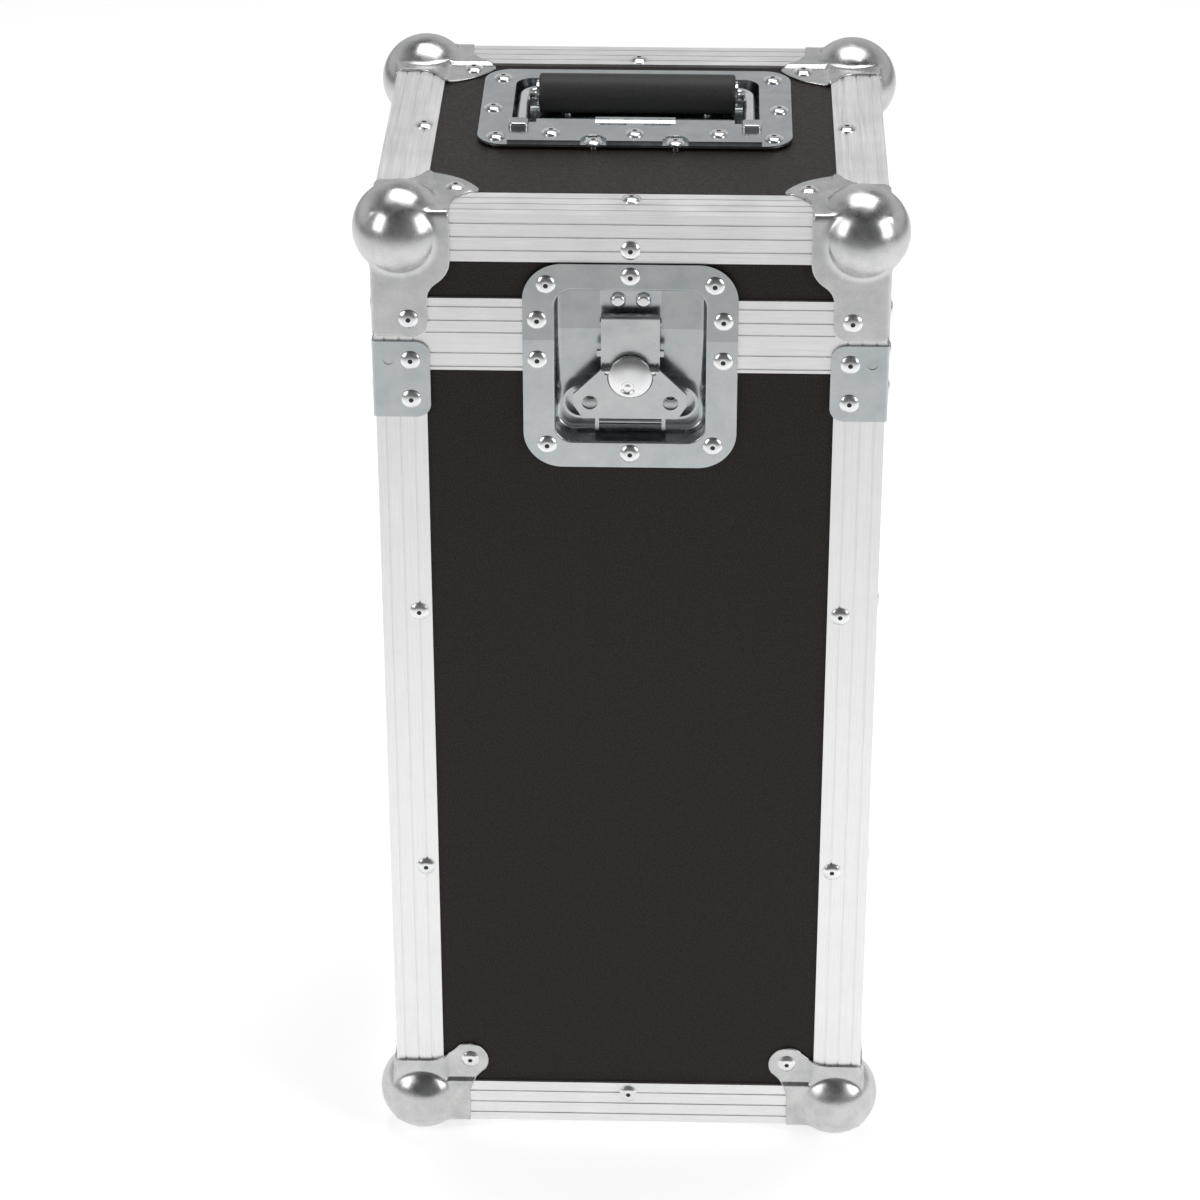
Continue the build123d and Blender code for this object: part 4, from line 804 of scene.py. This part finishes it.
# %% Give every node its finish
panels = [name for name in nodes if name.endswith(("_panel", "_panels"))]
level_x = ["base_front_edge", "base_rear_edge", "lid_front_edge", "lid_rear_edge"]
level_x += ["base_front_closure", "base_rear_closure", "lid_front_closure", "lid_rear_closure"]
level_y = ["base_side_edges", "lid_side_edges", "base_side_closures", "lid_side_closures"]
uprights = ["base_front_posts", "base_rear_posts", "lid_posts"]
dishes = ["latch_lower_dish", "latch_upper_dish", "latch_strike", "handle_dish", "handle_bracket"]
dishes += ["base_corner_braces", "hinge_base_leaves", "hinge_lid_leaves"]
finishes = {}
finishes.update({name: laminate for name in panels})
finishes.update({name: aluminium_along[0] for name in level_x})
finishes.update({name: aluminium_along[1] for name in level_y})
finishes.update({name: aluminium_along[2] for name in uprights})
finishes.update({name: zinc_dish for name in dishes})
finishes.update({name: zinc_cradle for name in ("latch_cradle", "latch_flap", "latch_hook")})
# The upper dish gets the darker zinc, whose tints are painted shade
finishes["latch_upper_dish"] = zinc_upper_dish_painted_shade
finishes["handle_grip"] = grip_rubber
for name, node in nodes.items():
    if node.hide_render:
        continue
    for slot in node.material_slots:
        slot.material = finishes.get(name, bright_steel)
others = len(nodes) - len(finishes)
print("finished nodes:", len(finishes), "named,", others, "in bright steel or replaced")

# %% [markdown]
# ## Floor and light
#
# The case stands on a white sheet. A lit white sheet is only as bright as its light, so the
# sheet gives off a little white of its own to the eye and to the metal, and still takes the
# case's soft shadow. A pool of light round the case is painted on the sheet: its colour turns
# grey and its own white weakens away from it.
# The world is a studio of directions: pale near the horizon, darker overhead and in front of the
# case, so that polished metal has something dark to show. Three large lamps stand for soft boxes.

# %% Lay the floor
floor_half = 30.0
pool_middle = (0.0, 1.0, 0.0)
pool_edge = (1.5, 3.0)
own_white_most = 0.55
own_white_least = 0.16
painted_pool_tones = [(0, (0.86,) * 3), (1, (0.56,) * 3)]


def worked_out(finish, operation, first, second):
    """The sum or the product of two sockets."""
    node = add(finish, "ShaderNodeMath")
    node.operation = operation
    join(finish, first, node.inputs[0])
    join(finish, second, node.inputs[1])
    return node.outputs[0]


floor_mesh = bpy.data.meshes.new("floor")
corner_signs = [(-1, -1), (1, -1), (1, 1), (-1, 1)]
floor_corners = [(x * floor_half, y * floor_half, 0) for x, y in corner_signs]
floor_mesh.from_pydata(floor_corners, [], [(0, 1, 2, 3)])
floor = bpy.data.objects.new("floor", floor_mesh)
bpy.context.scene.collection.objects.link(floor)
sheet = new_finish("white_sheet", (0.86, 0.86, 0.86), 0.9, Specular_IOR_Level=0.0)
floor_mesh.materials.append(sheet)
floor_place = add(sheet, "ShaderNodeTexCoord")
from_pool = add(sheet, "ShaderNodeVectorMath")
from_pool.operation = "DISTANCE"
from_pool.inputs[1].default_value = pool_middle
join(sheet, floor_place.outputs["Object"], from_pool.inputs[0])
distance = from_pool.outputs["Value"]
# Painted pool of light: the sheet's colour falls from 0.86 near the case to grey 0.56 far off
painted_pool_tints = colours_over(sheet, spread(sheet, distance, *pool_edge, 0, 1), painted_pool_tones)
join(sheet, painted_pool_tints, shader_of(sheet).inputs["Base Color"])
print("floor:", 2 * floor_half, "m square")

# %% Let the sheet give off its own white
seen = add(sheet, "ShaderNodeLightPath").outputs
eye_or_metal = worked_out(sheet, "ADD", seen["Is Camera Ray"], seen["Is Glossy Ray"])
eye_metal_glass = worked_out(sheet, "ADD", eye_or_metal, seen["Is Transmission Ray"])
# The own white is a painted pool of light too: strongest near the case, weaker far off
painted_pool_white = spread(sheet, distance, *pool_edge, own_white_most, own_white_least)
own_white = worked_out(sheet, "MULTIPLY", eye_metal_glass, painted_pool_white)
shader_of(sheet).inputs["Emission Color"].default_value = (1, 1, 1, 1)
join(sheet, own_white, shader_of(sheet).inputs["Emission Strength"])
print("own white from", own_white_most, "to", own_white_least)

# %% Light the studio
studio_strength = 0.8
case_middle = (0, 0, 0.3)
height_tones = [(0.0, 0.85), (0.5, 0.75), (0.72, 0.30), (0.86, 0.12), (1.0, 0.16)]
studio_cool = 1.01
front_to_rear = (-0.85, 0.25)
front_and_rear_share = (0.25, 1.0)
world = bpy.data.worlds.new("studio")
bpy.context.scene.world = world
world.use_nodes = True
direction = add(world, "ShaderNodeTexCoord")
parts = add(world, "ShaderNodeSeparateXYZ")
join(world, direction.outputs["Generated"], parts.inputs["Vector"])
cool_tones = [(rise, (tone, tone, tone * studio_cool)) for rise, tone in height_tones]
by_height = colours_over(world, parts.outputs["Z"], cool_tones)
by_depth = spread(world, parts.outputs["Y"], *front_to_rear, *front_and_rear_share)
shade = add(world, "ShaderNodeVectorMath")
shade.operation = "SCALE"
join(world, by_height, shade.inputs[0])
join(world, by_depth, shade.inputs["Scale"])
background = world.node_tree.nodes["Background"]
join(world, shade.outputs["Vector"], background.inputs["Color"])
background.inputs["Strength"].default_value = studio_strength


def soft_box(name, place, size, power):
    """A square lamp at a place, turned so that it shines at the middle of the case."""
    lamp = bpy.data.lights.new(name, "AREA")
    lamp.shape = "RECTANGLE"
    lamp.size, lamp.size_y = size
    lamp.energy = power
    away = np.array(place) - np.array(case_middle)
    depth = away / np.linalg.norm(away)
    across = np.cross((0, 0, 1), depth)
    across /= np.linalg.norm(across)
    turned = np.stack([across, np.cross(depth, across), depth], axis=1)
    holder = bpy.data.objects.new(name, lamp)
    holder.location = place
    holder.rotation_euler = Matrix(turned.tolist()).to_euler()
    bpy.context.scene.collection.objects.link(holder)


soft_box("left_box", (-1.9, -1.5, 1.5), (1.0, 1.6), 15)
soft_box("right_box", (2.0, -1.2, 1.3), (0.9, 1.5), 17)
soft_box("top_box", (0.1, 0.4, 2.4), (1.6, 1.2), 22)
bpy.context.scene.view_settings.view_transform = "Standard"
print("studio lit")
